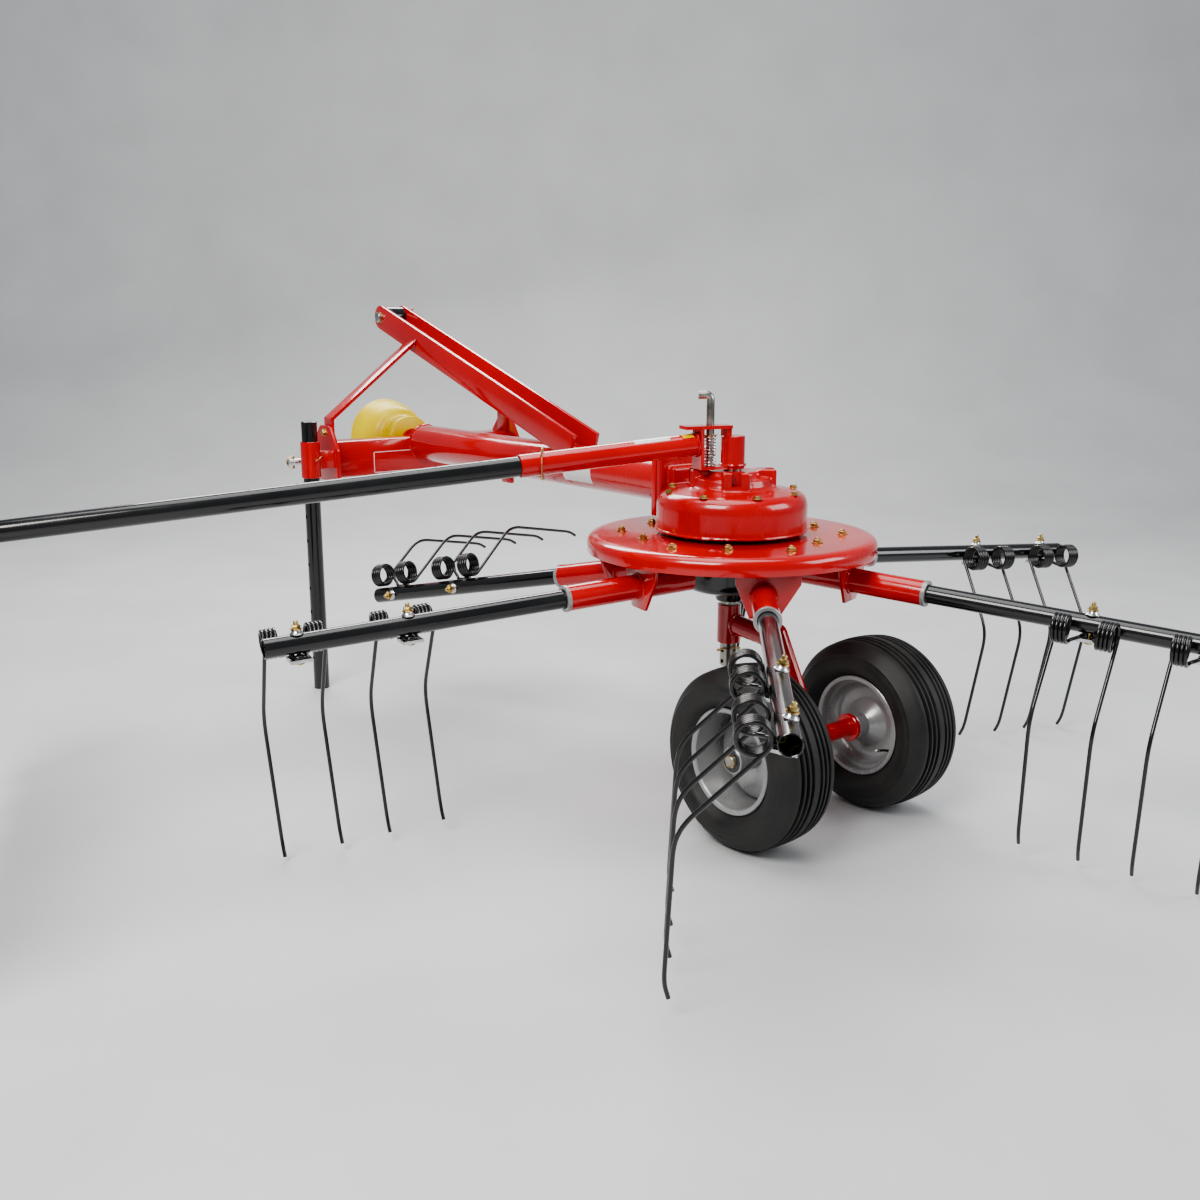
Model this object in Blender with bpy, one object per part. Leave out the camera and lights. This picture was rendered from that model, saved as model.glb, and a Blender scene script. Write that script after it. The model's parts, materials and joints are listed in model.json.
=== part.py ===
import math

import bmesh
import bpy
from mathutils import Matrix, Vector

# Rotary hay rake for a category 1 hitch, in metres. While it is modelled, X = Y = 0 is the rotor's axis,
# Z = 0 is the floor, +Y points to the tractor and +X to the right. The last step moves the whole machine
# so that the middle of its footprint is the origin.

GAP = 0.0003  # between pieces that touch
RUNNING_GAP = 0.0008  # at bearings and sliding tubes
WELD = 0.002  # how far bodies of one piece run into each other

BEAM_HALF = 0.329
BEAM_HEIGHT = 0.114
BEAM_DEPTH = 0.080
BEAM_WALL = 0.006
BEAM_REAR = 1.450
BEAM_MIDDLE = 0.714
BEARING_RADIUS = 0.040
BEARING_PROUD = 0.010  # of the beam's front face

LUG_THICK = 0.012
LUG_BACK = 0.050
LUG_FRONT = 0.062
LUG_RISE = 0.050
LINK_PIN_RADIUS = 0.011
LINK_PIN_LENGTH = 0.090
BRACE_WIDTH = 0.050
BRACE_THICK = 0.010

BOOM_RADIUS = 0.057
BOOM_WALL = 0.005
BOOM_HEIGHT = 0.750
FLANGE_FRONT = 0.205
FLANGE_THICK = 0.018
FLANGE_HALF = 0.080

TOP_PIN_AHEAD = 0.110  # of the beam's front face
TOP_PIN_HEIGHT = 1.150
TOP_PIN_RADIUS = 0.0095
MAST_FOOT = 0.700
MAST_GAP_HALF = 0.034
MAST_THICK = 0.012
MAST_WIDTH = 0.075
BRACE_SHARE = 0.78  # where the braces meet the mast bars, from their foot

SHAFT_RADIUS = 0.0175
SHAFT_REACH = 0.150
GUARD_COLLAR = 0.080
GUARD_MOUTH = 0.128
GUARD_LENGTH = 0.185
GUARD_WALL = 0.004
GUARD_STEP = 0.060  # where the collar meets the bell

LEG_X = -0.420
LEG_Y = 1.420
LEG_RADIUS = 0.024
LEG_WALL = 0.004
LEG_LENGTH = 0.840
SOCKET_WALL = 0.0045
SOCKET_LOW = 0.670
SOCKET_HIGH = 0.780

CASE_RADIUS = 0.180
CASE_LOW = 0.655
CASE_HIGH = 0.750
CASE_WALL = 0.012
BOSS_RADIUS = 0.098
BOSS_HIGH = 0.796
POST_RADIUS = 0.021
POST_LOW = 0.315
POST_HIGH = 0.868

DISC_RADIUS = 0.347
DISC_TOP = 0.645
DISC_SHEET = 0.004
DISC_RIM = 0.040
HUB_RADIUS = 0.115
HUB_LOW = 0.480
HUB_WALL = 0.014

ARMS = 6
FIRST_HEADING = 222.0  # degrees clockwise from +Y
ARM_OFFSET = 0.065
ARM_RADIUS = 0.021
ARM_WALL = 0.003
STUB_RADIUS = 0.029
STUB_START = 0.150
STUB_END = 0.470
ARM_START = 0.200
ARM_END = 1.135
ARM_HEIGHT = 0.540  # at the stub's end
ARM_DROOP = 3.4
LOW_ARM = 3
LOW_ARM_DROOP = 11.5
LOW_ARM_DROP = 0.046
HOLDER_AT = 0.282
HOLDER_THICK = 0.008
HOLDER_LOW = 0.500
HOLDER_CLOCKWISE = 0.062
HOLDER_COUNTER = 0.083

TINE_PLACES = (0.830, 1.065)  # along the arm, from the rotor's axis
WIRE_RADIUS = 0.0042
COIL_RADIUS = 0.0325
COIL_LENGTH = 0.042
COIL_SPACING = 0.094
COIL_OUT = ARM_RADIUS + COIL_RADIUS + 0.0035  # the coils clear the tube by the last figure
COIL_DOWN = 0.006
CLAMP_HALF = 0.024
CLAMP_PLATE = 0.006
TURNED_ARM = 1
TURNED_BY = 12.0  # the cam has begun to turn this arm's tines
RAISED_TURN = 88.0  # and has lifted the low arm's
# Each leg's stretches: length, and slope from straight down towards the clockwise side, in degrees.
LEG_STRETCHES = ((0.180, 33.0), (0.040, 12.0), (0.256, -9.0), (0.030, -28.0))

AXLE_BACK = 0.289
WHEEL_RADIUS = 0.205
WHEEL_WIDTH = 0.165
WHEEL_OUT = 0.207
RIM_RADIUS = 0.1135
AXLE_RADIUS = 0.021
SPINDLE_RADIUS = 0.0125
HUB_TUBE_RADIUS = 0.030
CASTER_LOW = 0.375
CASTER_HIGH = 0.470
CASTER_RADIUS = 0.0285
CASTER_BAR_TOP = -0.165

SWING_HEADING = 288.0
SWING_HIGH = 0.878
SWING_RADIUS = 0.0275
SWING_PLATE = 0.008
PIN_OUT = 0.060
DEFLECTOR_HEIGHT = 0.868  # of the tube's axis, carried in to the rotor's axis
DEFLECTOR_SLOPE = 4.65
DEFLECTOR_START = 0.094
DEFLECTOR_TUBE_END = 0.530
DEFLECTOR_RADIUS = 0.026
POLE_RADIUS = 0.0225
POLE_WALL = 0.003
POLE_START = 0.400
POLE_END = 1.750
CURTAIN_LENGTH = 1.200
CURTAIN_DROP = 0.550
CURTAIN_THICK = 0.006
CURTAIN_BAR_RADIUS = 0.015


def material(name, colour, roughness, metallic=0.0):
    made = bpy.data.materials.new(name)
    made.use_nodes = True
    shader = made.node_tree.nodes["Principled BSDF"]
    shader.inputs["Base Color"].default_value = (*colour, 1.0)
    shader.inputs["Roughness"].default_value = roughness
    shader.inputs["Metallic"].default_value = metallic
    return made


def heading_vector(degrees):
    turn = math.radians(degrees)
    return Vector((math.sin(turn), math.cos(turn), 0.0))


def placed(origin, x_axis, y_axis):
    """A matrix with the given origin and X axis, and Y axis as near as it can be to the given one."""
    first = Vector(x_axis).normalized()
    third = first.cross(Vector(y_axis)).normalized()
    second = third.cross(first)
    return Matrix.Translation(origin) @ Matrix((first, second, third)).transposed().to_4x4()


def along(start, end):
    """A matrix whose Z axis runs from start to end."""
    direction = (Vector(end) - Vector(start)).normalized()
    helper = Vector((0, 0, 1)) if abs(direction.z) < 0.9 else Vector((1, 0, 0))
    side = helper.cross(direction).normalized()
    return Matrix.Translation(start) @ Matrix((side, direction.cross(side), direction)).transposed().to_4x4()


def mesh_from(bm, place=None):
    if place is not None:
        bm.transform(place)
    bmesh.ops.recalc_face_normals(bm, faces=bm.faces)
    if bm.calc_volume(signed=True) < 0:
        bmesh.ops.reverse_faces(bm, faces=bm.faces)
    mesh = bpy.data.meshes.new("body")
    bm.to_mesh(mesh)
    bm.free()
    return mesh


def block(low, high):
    """A box between two corners."""
    bm = bmesh.new()
    low, high = Vector(low), Vector(high)
    bmesh.ops.create_cube(bm, size=1.0)
    size = high - low
    return mesh_from(bm, Matrix.Translation((low + high) / 2) @ Matrix.Diagonal((*size, 1.0)))


def plate(outline, thickness, place):
    """A flat outline in local X and Y, as thick as asked along local Z, half to each side."""
    bm = bmesh.new()
    corners = [bm.verts.new((x, y, -thickness / 2)) for x, y in outline]
    face = bm.faces.new(corners)
    grown = bmesh.ops.extrude_face_region(bm, geom=[face])
    moved = [item for item in grown["geom"] if isinstance(item, bmesh.types.BMVert)]
    bmesh.ops.translate(bm, verts=moved, vec=(0, 0, thickness))
    return mesh_from(bm, place)


def turned(profile, steps, place=None):
    """A closed profile of (radius, height) points, spun about local Z."""
    bm = bmesh.new()
    points = [bm.verts.new((radius, 0, height)) for radius, height in profile]
    edges = [bm.edges.new((points[i - 1], points[i])) for i in range(len(points))]
    bmesh.ops.spin(bm, geom=points + edges, cent=(0, 0, 0), axis=(0, 0, 1), angle=2 * math.pi,
                   steps=steps, use_merge=True)
    bmesh.ops.remove_doubles(bm, verts=bm.verts, dist=1e-6)
    return mesh_from(bm, place)


def rod(start, end, radius, steps=16):
    length = (Vector(end) - Vector(start)).length
    bm = bmesh.new()
    bmesh.ops.create_cone(bm, cap_ends=True, segments=steps, radius1=radius, radius2=radius, depth=length)
    return mesh_from(bm, along(start, end) @ Matrix.Translation((0, 0, length / 2)))


def pipe(start, end, radius, wall, steps=16):
    length = (Vector(end) - Vector(start)).length
    profile = [(radius - wall, 0), (radius, 0), (radius, length), (radius - wall, length)]
    return turned(profile, steps, along(start, end))


def wire(points, radius, roundness=0):
    """A bent wire with flat ends, as a mesh."""
    curve = bpy.data.curves.new("wire", "CURVE")
    curve.dimensions = "3D"
    curve.bevel_depth = radius
    curve.bevel_resolution = roundness
    curve.use_fill_caps = True
    spline = curve.splines.new("POLY")
    spline.points.add(len(points) - 1)
    for place, point in zip(spline.points, points):
        place.co = (*point, 1.0)
    guide = bpy.data.objects.new("wire", curve)
    mesh = bpy.data.meshes.new_from_object(guide)
    bpy.data.objects.remove(guide)
    bm = bmesh.new()
    bm.from_mesh(mesh)
    bmesh.ops.remove_doubles(bm, verts=bm.verts, dist=1e-6)
    return mesh_from(bm)


def rounded_bar(start, end, width, round_start=True):
    """The outline of a flat bar from start to end in a plane, with one or both ends rounded."""
    start, end = Vector(start), Vector(end)
    direction = (end - start).normalized()
    base = math.atan2(direction.y, direction.x)
    half = width / 2
    points = []
    for step in range(7):
        turn = base - math.pi / 2 + math.pi * step / 6
        points.append(end + half * Vector((math.cos(turn), math.sin(turn))))
    side = half * Vector((-direction.y, direction.x))
    if not round_start:
        return points + [start + side, start - side]
    for step in range(7):
        turn = base + math.pi / 2 + math.pi * step / 6
        points.append(start + half * Vector((math.cos(turn), math.sin(turn))))
    return points


def group(name, pivot=(0, 0, 0), parent=None):
    """An empty that carries the pieces of one body, on that body's joint axis."""
    empty = bpy.data.objects.new(name, None)
    empty["pivot"] = list(pivot)
    empty.parent = parent
    empty.location = Vector(pivot) - (Vector(parent["pivot"]) if parent else Vector())
    bpy.context.scene.collection.objects.link(empty)
    return empty


def add_object(name, mesh, parent):
    mesh.transform(Matrix.Translation(-Vector(parent["pivot"])))
    made = bpy.data.objects.new(name, mesh)
    made.parent = parent
    bpy.context.scene.collection.objects.link(made)
    return made


def piece(name, mesh, paint, parent, added=(), cut=()):
    """One named piece: a mesh, with others joined to it and then others cut from it."""
    made = add_object(name, mesh, parent)
    mesh.materials.append(paint)
    for operation, bodies in (("UNION", added), ("DIFFERENCE", cut)):
        for number, body in enumerate(bodies, 1):
            helper = add_object(f"{name}_{operation.lower()}_{number}", body, parent)
            helper.hide_render = True
            helper.display_type = "WIRE"
            step = made.modifiers.new(helper.name, "BOOLEAN")
            step.operation = operation
            step.object = helper
    mesh.shade_smooth()
    mesh.set_sharp_from_angle(angle=math.radians(35))
    return made


def side_plane(x):
    """Local X and Y lie along the machine's Y and Z, in the plane at x."""
    return placed((x, 0, 0), (0, 1, 0), (0, 0, 1))


def make_headstock(frame, paint):
    beam_front = BEAM_REAR + BEAM_DEPTH
    low, high = BEAM_MIDDLE - BEAM_HEIGHT / 2, BEAM_MIDDLE + BEAM_HEIGHT / 2
    bearing = rod((0, beam_front - WELD, BOOM_HEIGHT), (0, beam_front + BEARING_PROUD, BOOM_HEIGHT),
                  BEARING_RADIUS, 24)
    bore = rod((0, BEAM_REAR + BEAM_WALL, BOOM_HEIGHT), (0, beam_front + 0.030, BOOM_HEIGHT),
               SHAFT_RADIUS + RUNNING_GAP, 20)
    inside = block((-BEAM_HALF - 0.01, BEAM_REAR + BEAM_WALL, low + BEAM_WALL),
                   (BEAM_HALF + 0.01, beam_front - BEAM_WALL, high - BEAM_WALL))
    piece("cross_beam", block((-BEAM_HALF, BEAM_REAR, low), (BEAM_HALF, beam_front, high)), paint["red"],
          frame,
          added=[bearing], cut=[inside, bore])

    link_y = beam_front + 0.030
    link_z = BEAM_MIDDLE - 0.010
    top_y = beam_front + TOP_PIN_AHEAD
    rise = high + LUG_RISE
    lug = [(BEAM_REAR - LUG_BACK, low - 0.004), (link_y + 0.004, low - 0.012),
           (beam_front + LUG_FRONT, link_z - 0.016),
           (beam_front + LUG_FRONT, link_z + 0.022), (BEAM_REAR + 0.062, rise), (BEAM_REAR - 0.004, rise),
           (BEAM_REAR - LUG_BACK, high - 0.020)]
    mast_foot = Vector((MAST_FOOT, BOOM_HEIGHT + BOOM_RADIUS + GAP))
    brace_meet = mast_foot.lerp(Vector((top_y, TOP_PIN_HEIGHT)), BRACE_SHARE)
    for side, name in ((-1, "left"), (1, "right")):
        inner = side * (BEAM_HALF + GAP)
        outer = side * (BEAM_HALF + GAP + LUG_THICK)
        hole = rod((inner - side * 0.01, link_y, link_z), (outer + side * 0.01, link_y, link_z),
                   LINK_PIN_RADIUS + GAP)
        piece(f"{name}_lug", plate(lug, LUG_THICK, side_plane((inner + outer) / 2)), paint["red"], frame,
              cut=[hole])
        piece(f"{name}_link_pin",
              rod((inner - side * 0.022, link_y, link_z), (outer + side * LINK_PIN_LENGTH, link_y, link_z),
                  LINK_PIN_RADIUS), paint["zinc"], frame,
              added=[rod((inner - side * 0.024, link_y, link_z), (inner - side * GAP, link_y, link_z), 0.018,
                         6)])
        make_brace(name, side, paint["red"], frame, rise, brace_meet)
    return top_y, mast_foot


def make_brace(name, side, red, frame, foot, meet):
    """A flat bar that stands against the inside of its lug, then leans in to its mast bar."""
    lug_face = side * (BEAM_HALF - GAP)
    low = foot - LUG_RISE + GAP
    mid_y = BEAM_REAR + 0.030
    upright_top = Vector((lug_face - side * BRACE_THICK / 2, mid_y, foot + 0.020))
    upright = block((min(lug_face, lug_face - side * BRACE_THICK), mid_y - BRACE_WIDTH / 2, low),
                    (max(lug_face, lug_face - side * BRACE_THICK), mid_y + BRACE_WIDTH / 2, foot + 0.024))
    mast_face = side * (MAST_GAP_HALF + MAST_THICK + GAP)
    target = Vector((mast_face, meet[0], meet[1]))
    run = target - upright_top
    length = run.length
    place = placed(upright_top, run, (0, 1, 0))
    bar = [(-0.004, -BRACE_WIDTH / 2), (length + 0.03, -BRACE_WIDTH / 2), (length + 0.03, BRACE_WIDTH / 2),
           (-0.004, BRACE_WIDTH / 2)]
    inward = mast_face - side * 0.20
    beyond = block((min(mast_face, inward), meet[0] - 0.3, meet[1] - 0.3),
                   (max(mast_face, inward), meet[0] + 0.3, meet[1] + 0.3))
    piece(f"{name}_brace", upright, red, frame, added=[plate(bar, BRACE_THICK, place)], cut=[beyond])


def make_mast(frame, paint, top_y, mast_foot):
    top = Vector((top_y, TOP_PIN_HEIGHT))
    start = mast_foot + Vector((0, MAST_WIDTH / 2)) - (top - mast_foot).normalized() * 0.12
    seat = rod((0, 0, BOOM_HEIGHT), (0, BEAM_REAR, BOOM_HEIGHT), BOOM_RADIUS + GAP, 24)
    floor = BOOM_HEIGHT
    for side, name in ((-1, "left"), (1, "right")):
        middle = side * (MAST_GAP_HALF + MAST_THICK / 2)
        hole = rod((middle - 0.02, top_y, TOP_PIN_HEIGHT), (middle + 0.02, top_y, TOP_PIN_HEIGHT),
                   TOP_PIN_RADIUS + GAP)
        outline = rounded_bar(start, top, MAST_WIDTH, round_start=False)
        under = block((-0.2, 0.2, floor - 0.3), (0.2, 1.2, floor + 0.030))
        piece(f"{name}_mast_bar", plate(outline, MAST_THICK, side_plane(middle)), paint["red"], frame,
              cut=[seat.copy(), under, hole])
    bpy.data.meshes.remove(seat)
    reach = MAST_GAP_HALF + MAST_THICK
    piece("top_link_pin",
          rod((-reach - 0.004, top_y, TOP_PIN_HEIGHT), (reach + 0.040, top_y, TOP_PIN_HEIGHT),
              TOP_PIN_RADIUS),
          paint["zinc"], frame,
          added=[rod((-reach - 0.012, top_y, TOP_PIN_HEIGHT), (-reach - GAP, top_y, TOP_PIN_HEIGHT), 0.016,
                     20)])
    bush_half = MAST_GAP_HALF - GAP
    piece("top_link_bush",
          pipe((-bush_half, top_y, TOP_PIN_HEIGHT), (bush_half, top_y, TOP_PIN_HEIGHT), 0.034,
               0.034 - TOP_PIN_RADIUS - GAP, 24), paint["black"], frame)


def make_boom(frame, paint):
    front = BEAM_REAR - GAP
    piece("boom", pipe((0, FLANGE_FRONT - WELD, BOOM_HEIGHT), (0, front, BOOM_HEIGHT), BOOM_RADIUS,
                       BOOM_WALL, 24),
          paint["red"], frame,
          added=[block((-FLANGE_HALF, FLANGE_FRONT - FLANGE_THICK, BOOM_HEIGHT - FLANGE_HALF),
                       (FLANGE_HALF, FLANGE_FRONT, BOOM_HEIGHT + FLANGE_HALF)),
                 plate([(FLANGE_FRONT - 0.004, BOOM_HEIGHT + BOOM_RADIUS - 0.004),
                        (FLANGE_FRONT + 0.075, BOOM_HEIGHT + BOOM_RADIUS - 0.004),
                        (FLANGE_FRONT - 0.004, BOOM_HEIGHT + FLANGE_HALF - 0.003)], 0.010, side_plane(0))])


def make_guard(frame, paint):
    """The drive shaft guard in three rings, each open where the one before it ends."""
    start = BEAM_REAR + BEAM_DEPTH + BEARING_PROUD + GAP
    place = along((0, start, BOOM_HEIGHT), (0, 2, BOOM_HEIGHT))
    hole, inner = SHAFT_RADIUS + 0.008, GUARD_COLLAR - GUARD_WALL
    back = [(hole, 0), (GUARD_COLLAR, 0), (GUARD_COLLAR, GUARD_WALL), (hole, GUARD_WALL)]
    collar = [(inner, GUARD_WALL + GAP), (GUARD_COLLAR, GUARD_WALL + GAP), (GUARD_COLLAR, GUARD_STEP),
              (inner, GUARD_STEP)]
    outside = [(GUARD_COLLAR, GUARD_STEP + GAP), (GUARD_COLLAR + 0.020, GUARD_STEP + 0.018),
               (GUARD_MOUTH - 0.012, GUARD_LENGTH - 0.060), (GUARD_MOUTH - 0.003, GUARD_LENGTH - 0.022),
               (GUARD_MOUTH, GUARD_LENGTH)]
    bell = outside + [(radius - GUARD_WALL, height) for radius, height in reversed(outside)]
    for name, profile in (("back", back), ("collar", collar), ("bell", bell)):
        piece(f"guard_{name}", turned(profile, 24, place), paint["yellow"], frame)


def make_input_shaft(frame, paint):
    front = BEAM_REAR + BEAM_DEPTH
    body = group("input_shaft_axis", (0, front, BOOM_HEIGHT), frame)
    shaft_start = front - BEAM_DEPTH + BEAM_WALL + GAP
    profile = [(0, shaft_start), (SHAFT_RADIUS, shaft_start), (SHAFT_RADIUS, front + SHAFT_REACH - 0.040),
               (SHAFT_RADIUS - 0.003, front + SHAFT_REACH - 0.037),
               (SHAFT_RADIUS - 0.003, front + SHAFT_REACH - 0.029),
               (SHAFT_RADIUS, front + SHAFT_REACH - 0.026), (SHAFT_RADIUS, front + SHAFT_REACH - 0.003),
               (SHAFT_RADIUS - 0.003, front + SHAFT_REACH), (0, front + SHAFT_REACH)]
    place = along((0, 0, BOOM_HEIGHT), (0, 1, BOOM_HEIGHT))
    piece("input_shaft", turned(profile, 20, place), paint["steel"], body)


def make_leg(frame, paint):
    """The parking leg, let down to the floor in its socket."""
    bore = LEG_RADIUS + RUNNING_GAP
    lug_face = -(BEAM_HALF + GAP + LUG_THICK) - GAP
    bracket = block((LEG_X + bore + SOCKET_WALL / 2, LEG_Y - 0.012, SOCKET_LOW + 0.025),
                    (lug_face, LEG_Y + 0.012, SOCKET_HIGH - 0.030))
    piece("leg_socket", pipe((LEG_X, LEG_Y, SOCKET_LOW), (LEG_X, LEG_Y, SOCKET_HIGH), bore + SOCKET_WALL,
                             SOCKET_WALL, 16), paint["red"], frame, added=[bracket])
    body = group("leg_slide", (LEG_X, LEG_Y, 0), frame)
    piece("parking_leg", pipe((LEG_X, LEG_Y, 0), (LEG_X, LEG_Y, LEG_LENGTH), LEG_RADIUS, LEG_WALL, 16),
          paint["black"], body)


def make_gearbox(frame, paint):
    case, boss, bore = CASE_RADIUS, BOSS_RADIUS, POST_RADIUS + GAP
    profile = [(case, CASE_LOW), (case, CASE_HIGH - 0.034), (case - 0.006, CASE_HIGH - 0.014),
               (case - 0.020, CASE_HIGH - 0.003), (case - 0.040, CASE_HIGH),
               (boss + 0.016, CASE_HIGH + 0.004),
               (boss, CASE_HIGH + 0.014), (boss - 0.004, BOSS_HIGH - 0.016),
               (boss - 0.030, BOSS_HIGH - 0.012),
               (boss - 0.036, BOSS_HIGH), (bore, BOSS_HIGH), (bore, CASE_HIGH - 0.020),
               (0.050, CASE_HIGH - 0.020), (0.056, CASE_HIGH - CASE_WALL),
               (case - 0.044, CASE_HIGH - CASE_WALL),
               (case - CASE_WALL, CASE_HIGH - 0.036), (case - CASE_WALL, CASE_LOW)]
    face = FLANGE_FRONT - FLANGE_THICK - GAP
    neck = block((-0.058, case - 0.034, CASE_LOW + 0.014), (0.058, face, CASE_HIGH + 0.040))
    pad = block((-FLANGE_HALF, face - 0.020, BOOM_HEIGHT - FLANGE_HALF),
                (FLANGE_HALF, face, BOOM_HEIGHT + FLANGE_HALF))
    ears, notches = [], []
    for heading in (SWING_HEADING - 160, SWING_HEADING + 20, SWING_HEADING - 70):
        place = placed((0, 0, 0), heading_vector(heading), heading_vector(heading - 90))
        ears.append(block((boss - 0.040, -0.030, CASE_HIGH - 0.006),
                          (boss + 0.004, 0.030, BOSS_HIGH + 0.004)))
        ears[-1].transform(place)
        notches.append(block((boss - 0.020, -0.011, BOSS_HIGH - 0.028),
                             (boss + 0.030, 0.011, BOSS_HIGH + 0.030)))
        notches[-1].transform(place)
    piece("gearbox_casting", turned(profile, 28), paint["red"], frame, added=[neck, pad] + ears, cut=notches)
    post = [(0, POST_LOW), (POST_RADIUS - 0.003, POST_LOW), (POST_RADIUS, POST_LOW + 0.003),
            (POST_RADIUS, POST_HIGH), (0, POST_HIGH)]
    piece("central_post", turned(post, 16), paint["steel"], frame)


def arm_frame(number):
    """The arm's place: X runs out along the tube, Y to the counter-clockwise side and Z up."""
    heading = FIRST_HEADING + 360 / ARMS * (number - 1)
    droop = math.radians(LOW_ARM_DROOP if number == LOW_ARM else ARM_DROOP)
    height = ARM_HEIGHT - (LOW_ARM_DROP if number == LOW_ARM else 0.0) + STUB_END * math.tan(droop)
    counter = heading_vector(heading - 90)
    outward = heading_vector(heading) * math.cos(droop) - Vector((0, 0, math.sin(droop)))
    return placed(counter * ARM_OFFSET + Vector((0, 0, height)), outward, counter), droop


def make_rotor(frame, paint):
    body = group("rotor_axis", (0, 0, DISC_TOP), frame)
    bore, under = 0.050, DISC_TOP - DISC_SHEET
    rim_low = DISC_TOP - DISC_RIM
    disc = [(bore, under), (bore, DISC_TOP), (DISC_RADIUS - 0.020, DISC_TOP),
            (DISC_RADIUS - 0.008, DISC_TOP - 0.005),
            (DISC_RADIUS, DISC_TOP - 0.016), (DISC_RADIUS, rim_low), (DISC_RADIUS - DISC_SHEET, rim_low),
            (DISC_RADIUS - DISC_SHEET, DISC_TOP - 0.018), (DISC_RADIUS - 0.012, DISC_TOP - 0.0085),
            (DISC_RADIUS - 0.022, under)]
    piece("rotor_disc", turned(disc, 36), paint["red"], body)
    inner, drum = POST_RADIUS + RUNNING_GAP, HUB_RADIUS
    top = under - GAP
    hub = [(inner, HUB_LOW), (inner + 0.012, HUB_LOW), (inner + 0.016, HUB_LOW + 0.020),
           (drum - 0.020, HUB_LOW + 0.028),
           (drum, HUB_LOW + 0.046), (drum, top), (drum - HUB_WALL, top), (drum - HUB_WALL, HUB_LOW + 0.052),
           (inner + 0.018, HUB_LOW + 0.040), (inner + 0.018, top), (inner, top)]
    piece("rotor_hub", turned(hub, 16), paint["black"], body)
    for number in range(1, ARMS + 1):
        make_arm(number, body, paint)
    return body


def make_arm(number, body, paint):
    place, droop = arm_frame(number)
    origin, outward = place.translation.copy(), place.to_3x3().col[0].copy()

    def at(distance):
        return origin + outward * distance

    level = Vector((outward.x, outward.y, 0)).normalized()
    counter = place.to_3x3().col[1].copy()
    top = DISC_TOP - DISC_SHEET - GAP
    centre = at(HOLDER_AT / math.cos(droop))
    upright = placed(Vector((centre.x, centre.y, 0)), -counter, (0, 0, 1))
    shoulder = top - 0.062
    foot = min(HOLDER_LOW, centre.z - 0.040)
    outline = [(-HOLDER_COUNTER, shoulder), (-0.034, foot), (0.030, foot), (HOLDER_CLOCKWISE, shoulder),
               (HOLDER_CLOCKWISE, top), (-HOLDER_COUNTER, top)]
    bore = ARM_RADIUS + GAP
    piece(f"arm_holder_{number}", plate(outline, HOLDER_THICK, upright), paint["red"], body,
          added=[rod(at(STUB_START), at(STUB_END), STUB_RADIUS, 16)],
          cut=[rod(at(STUB_START - 0.02), at(STUB_END + 0.02), bore, 12)])

    turn = {TURNED_ARM: TURNED_BY, LOW_ARM: RAISED_TURN}.get(number, 0.0)
    twisted = place @ Matrix.Rotation(-math.radians(turn), 4, "X")
    saddle_top = -(ARM_RADIUS + 2 * WIRE_RADIUS + 2 * GAP)
    fittings = []
    for distance in TINE_PLACES:
        saddle = block((-CLAMP_HALF, -0.022, saddle_top - CLAMP_PLATE), (CLAMP_HALF, 0.022, saddle_top))
        bolt = rod((0, 0, saddle_top - CLAMP_PLATE - 0.008), (0, 0, ARM_RADIUS + 0.030), 0.005, 8)
        nut = rod((0, 0, ARM_RADIUS - WELD), (0, 0, ARM_RADIUS + 0.018), 0.010, 6)
        for fitting, degrees in ((saddle, 0), (bolt, 11), (nut, 17)):
            fitting.transform(twisted @ Matrix.Translation((distance, 0, 0))
                              @ Matrix.Rotation(math.radians(degrees), 4, "Z"))
            fittings.append(fitting)
    piece(f"arm_tube_{number}", pipe(at(ARM_START), at(ARM_END), ARM_RADIUS, ARM_WALL, 12), paint["black"],
          body,
          added=fittings)
    for half, distance in zip("ab", TINE_PLACES):
        make_tine(f"tine_{number}{half}", twisted @ Matrix.Translation((distance, 0, 0)), body,
                  paint["black"])


def make_tine(name, place, body, black):
    """A double tine: two coils beside the tube, joined under the clamp, each with a leg at its outer end."""
    centre_y, centre_z = -COIL_OUT, -COIL_DOWN
    middle = COIL_RADIUS - WIRE_RADIUS
    bridge_z = -(ARM_RADIUS + GAP + WIRE_RADIUS)
    set_in = WIRE_RADIUS + 0.0007  # of a wire's middle from the end of its coil
    bridge, others = [], []
    for side in (-1, 1):
        inner = side * (COIL_SPACING - COIL_LENGTH) / 2
        outer = side * (COIL_SPACING + COIL_LENGTH) / 2
        start, end = sorted((inner, outer))
        others.append(pipe((start, centre_y, centre_z), (end, centre_y, centre_z), COIL_RADIUS,
                           2 * WIRE_RADIUS, 10))
        half = [(inner + side * set_in, centre_y, centre_z - middle),
                (inner - side * 0.004, centre_y + 0.016, bridge_z - 0.005),
                (side * 0.0130, centre_y + 0.030, bridge_z), (side * 0.0115, 0.012, bridge_z)]
        bridge = bridge + half if side < 0 else bridge + half[::-1]
        slope = math.radians(LEG_STRETCHES[0][1])
        at = Vector((outer - side * set_in, centre_y + middle * math.cos(slope),
                     centre_z - middle * math.sin(slope)))
        points = [at.copy()]
        for length, degrees in LEG_STRETCHES:
            angle = math.radians(degrees)
            at = at + length * Vector((0, -math.sin(angle), -math.cos(angle)))
            points.append(at.copy())
        others.append(wire(points, WIRE_RADIUS))
    mesh = wire(bridge, WIRE_RADIUS)
    for body_mesh in [mesh] + others:
        body_mesh.transform(place)
    piece(name, mesh, black, body, added=others)


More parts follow.
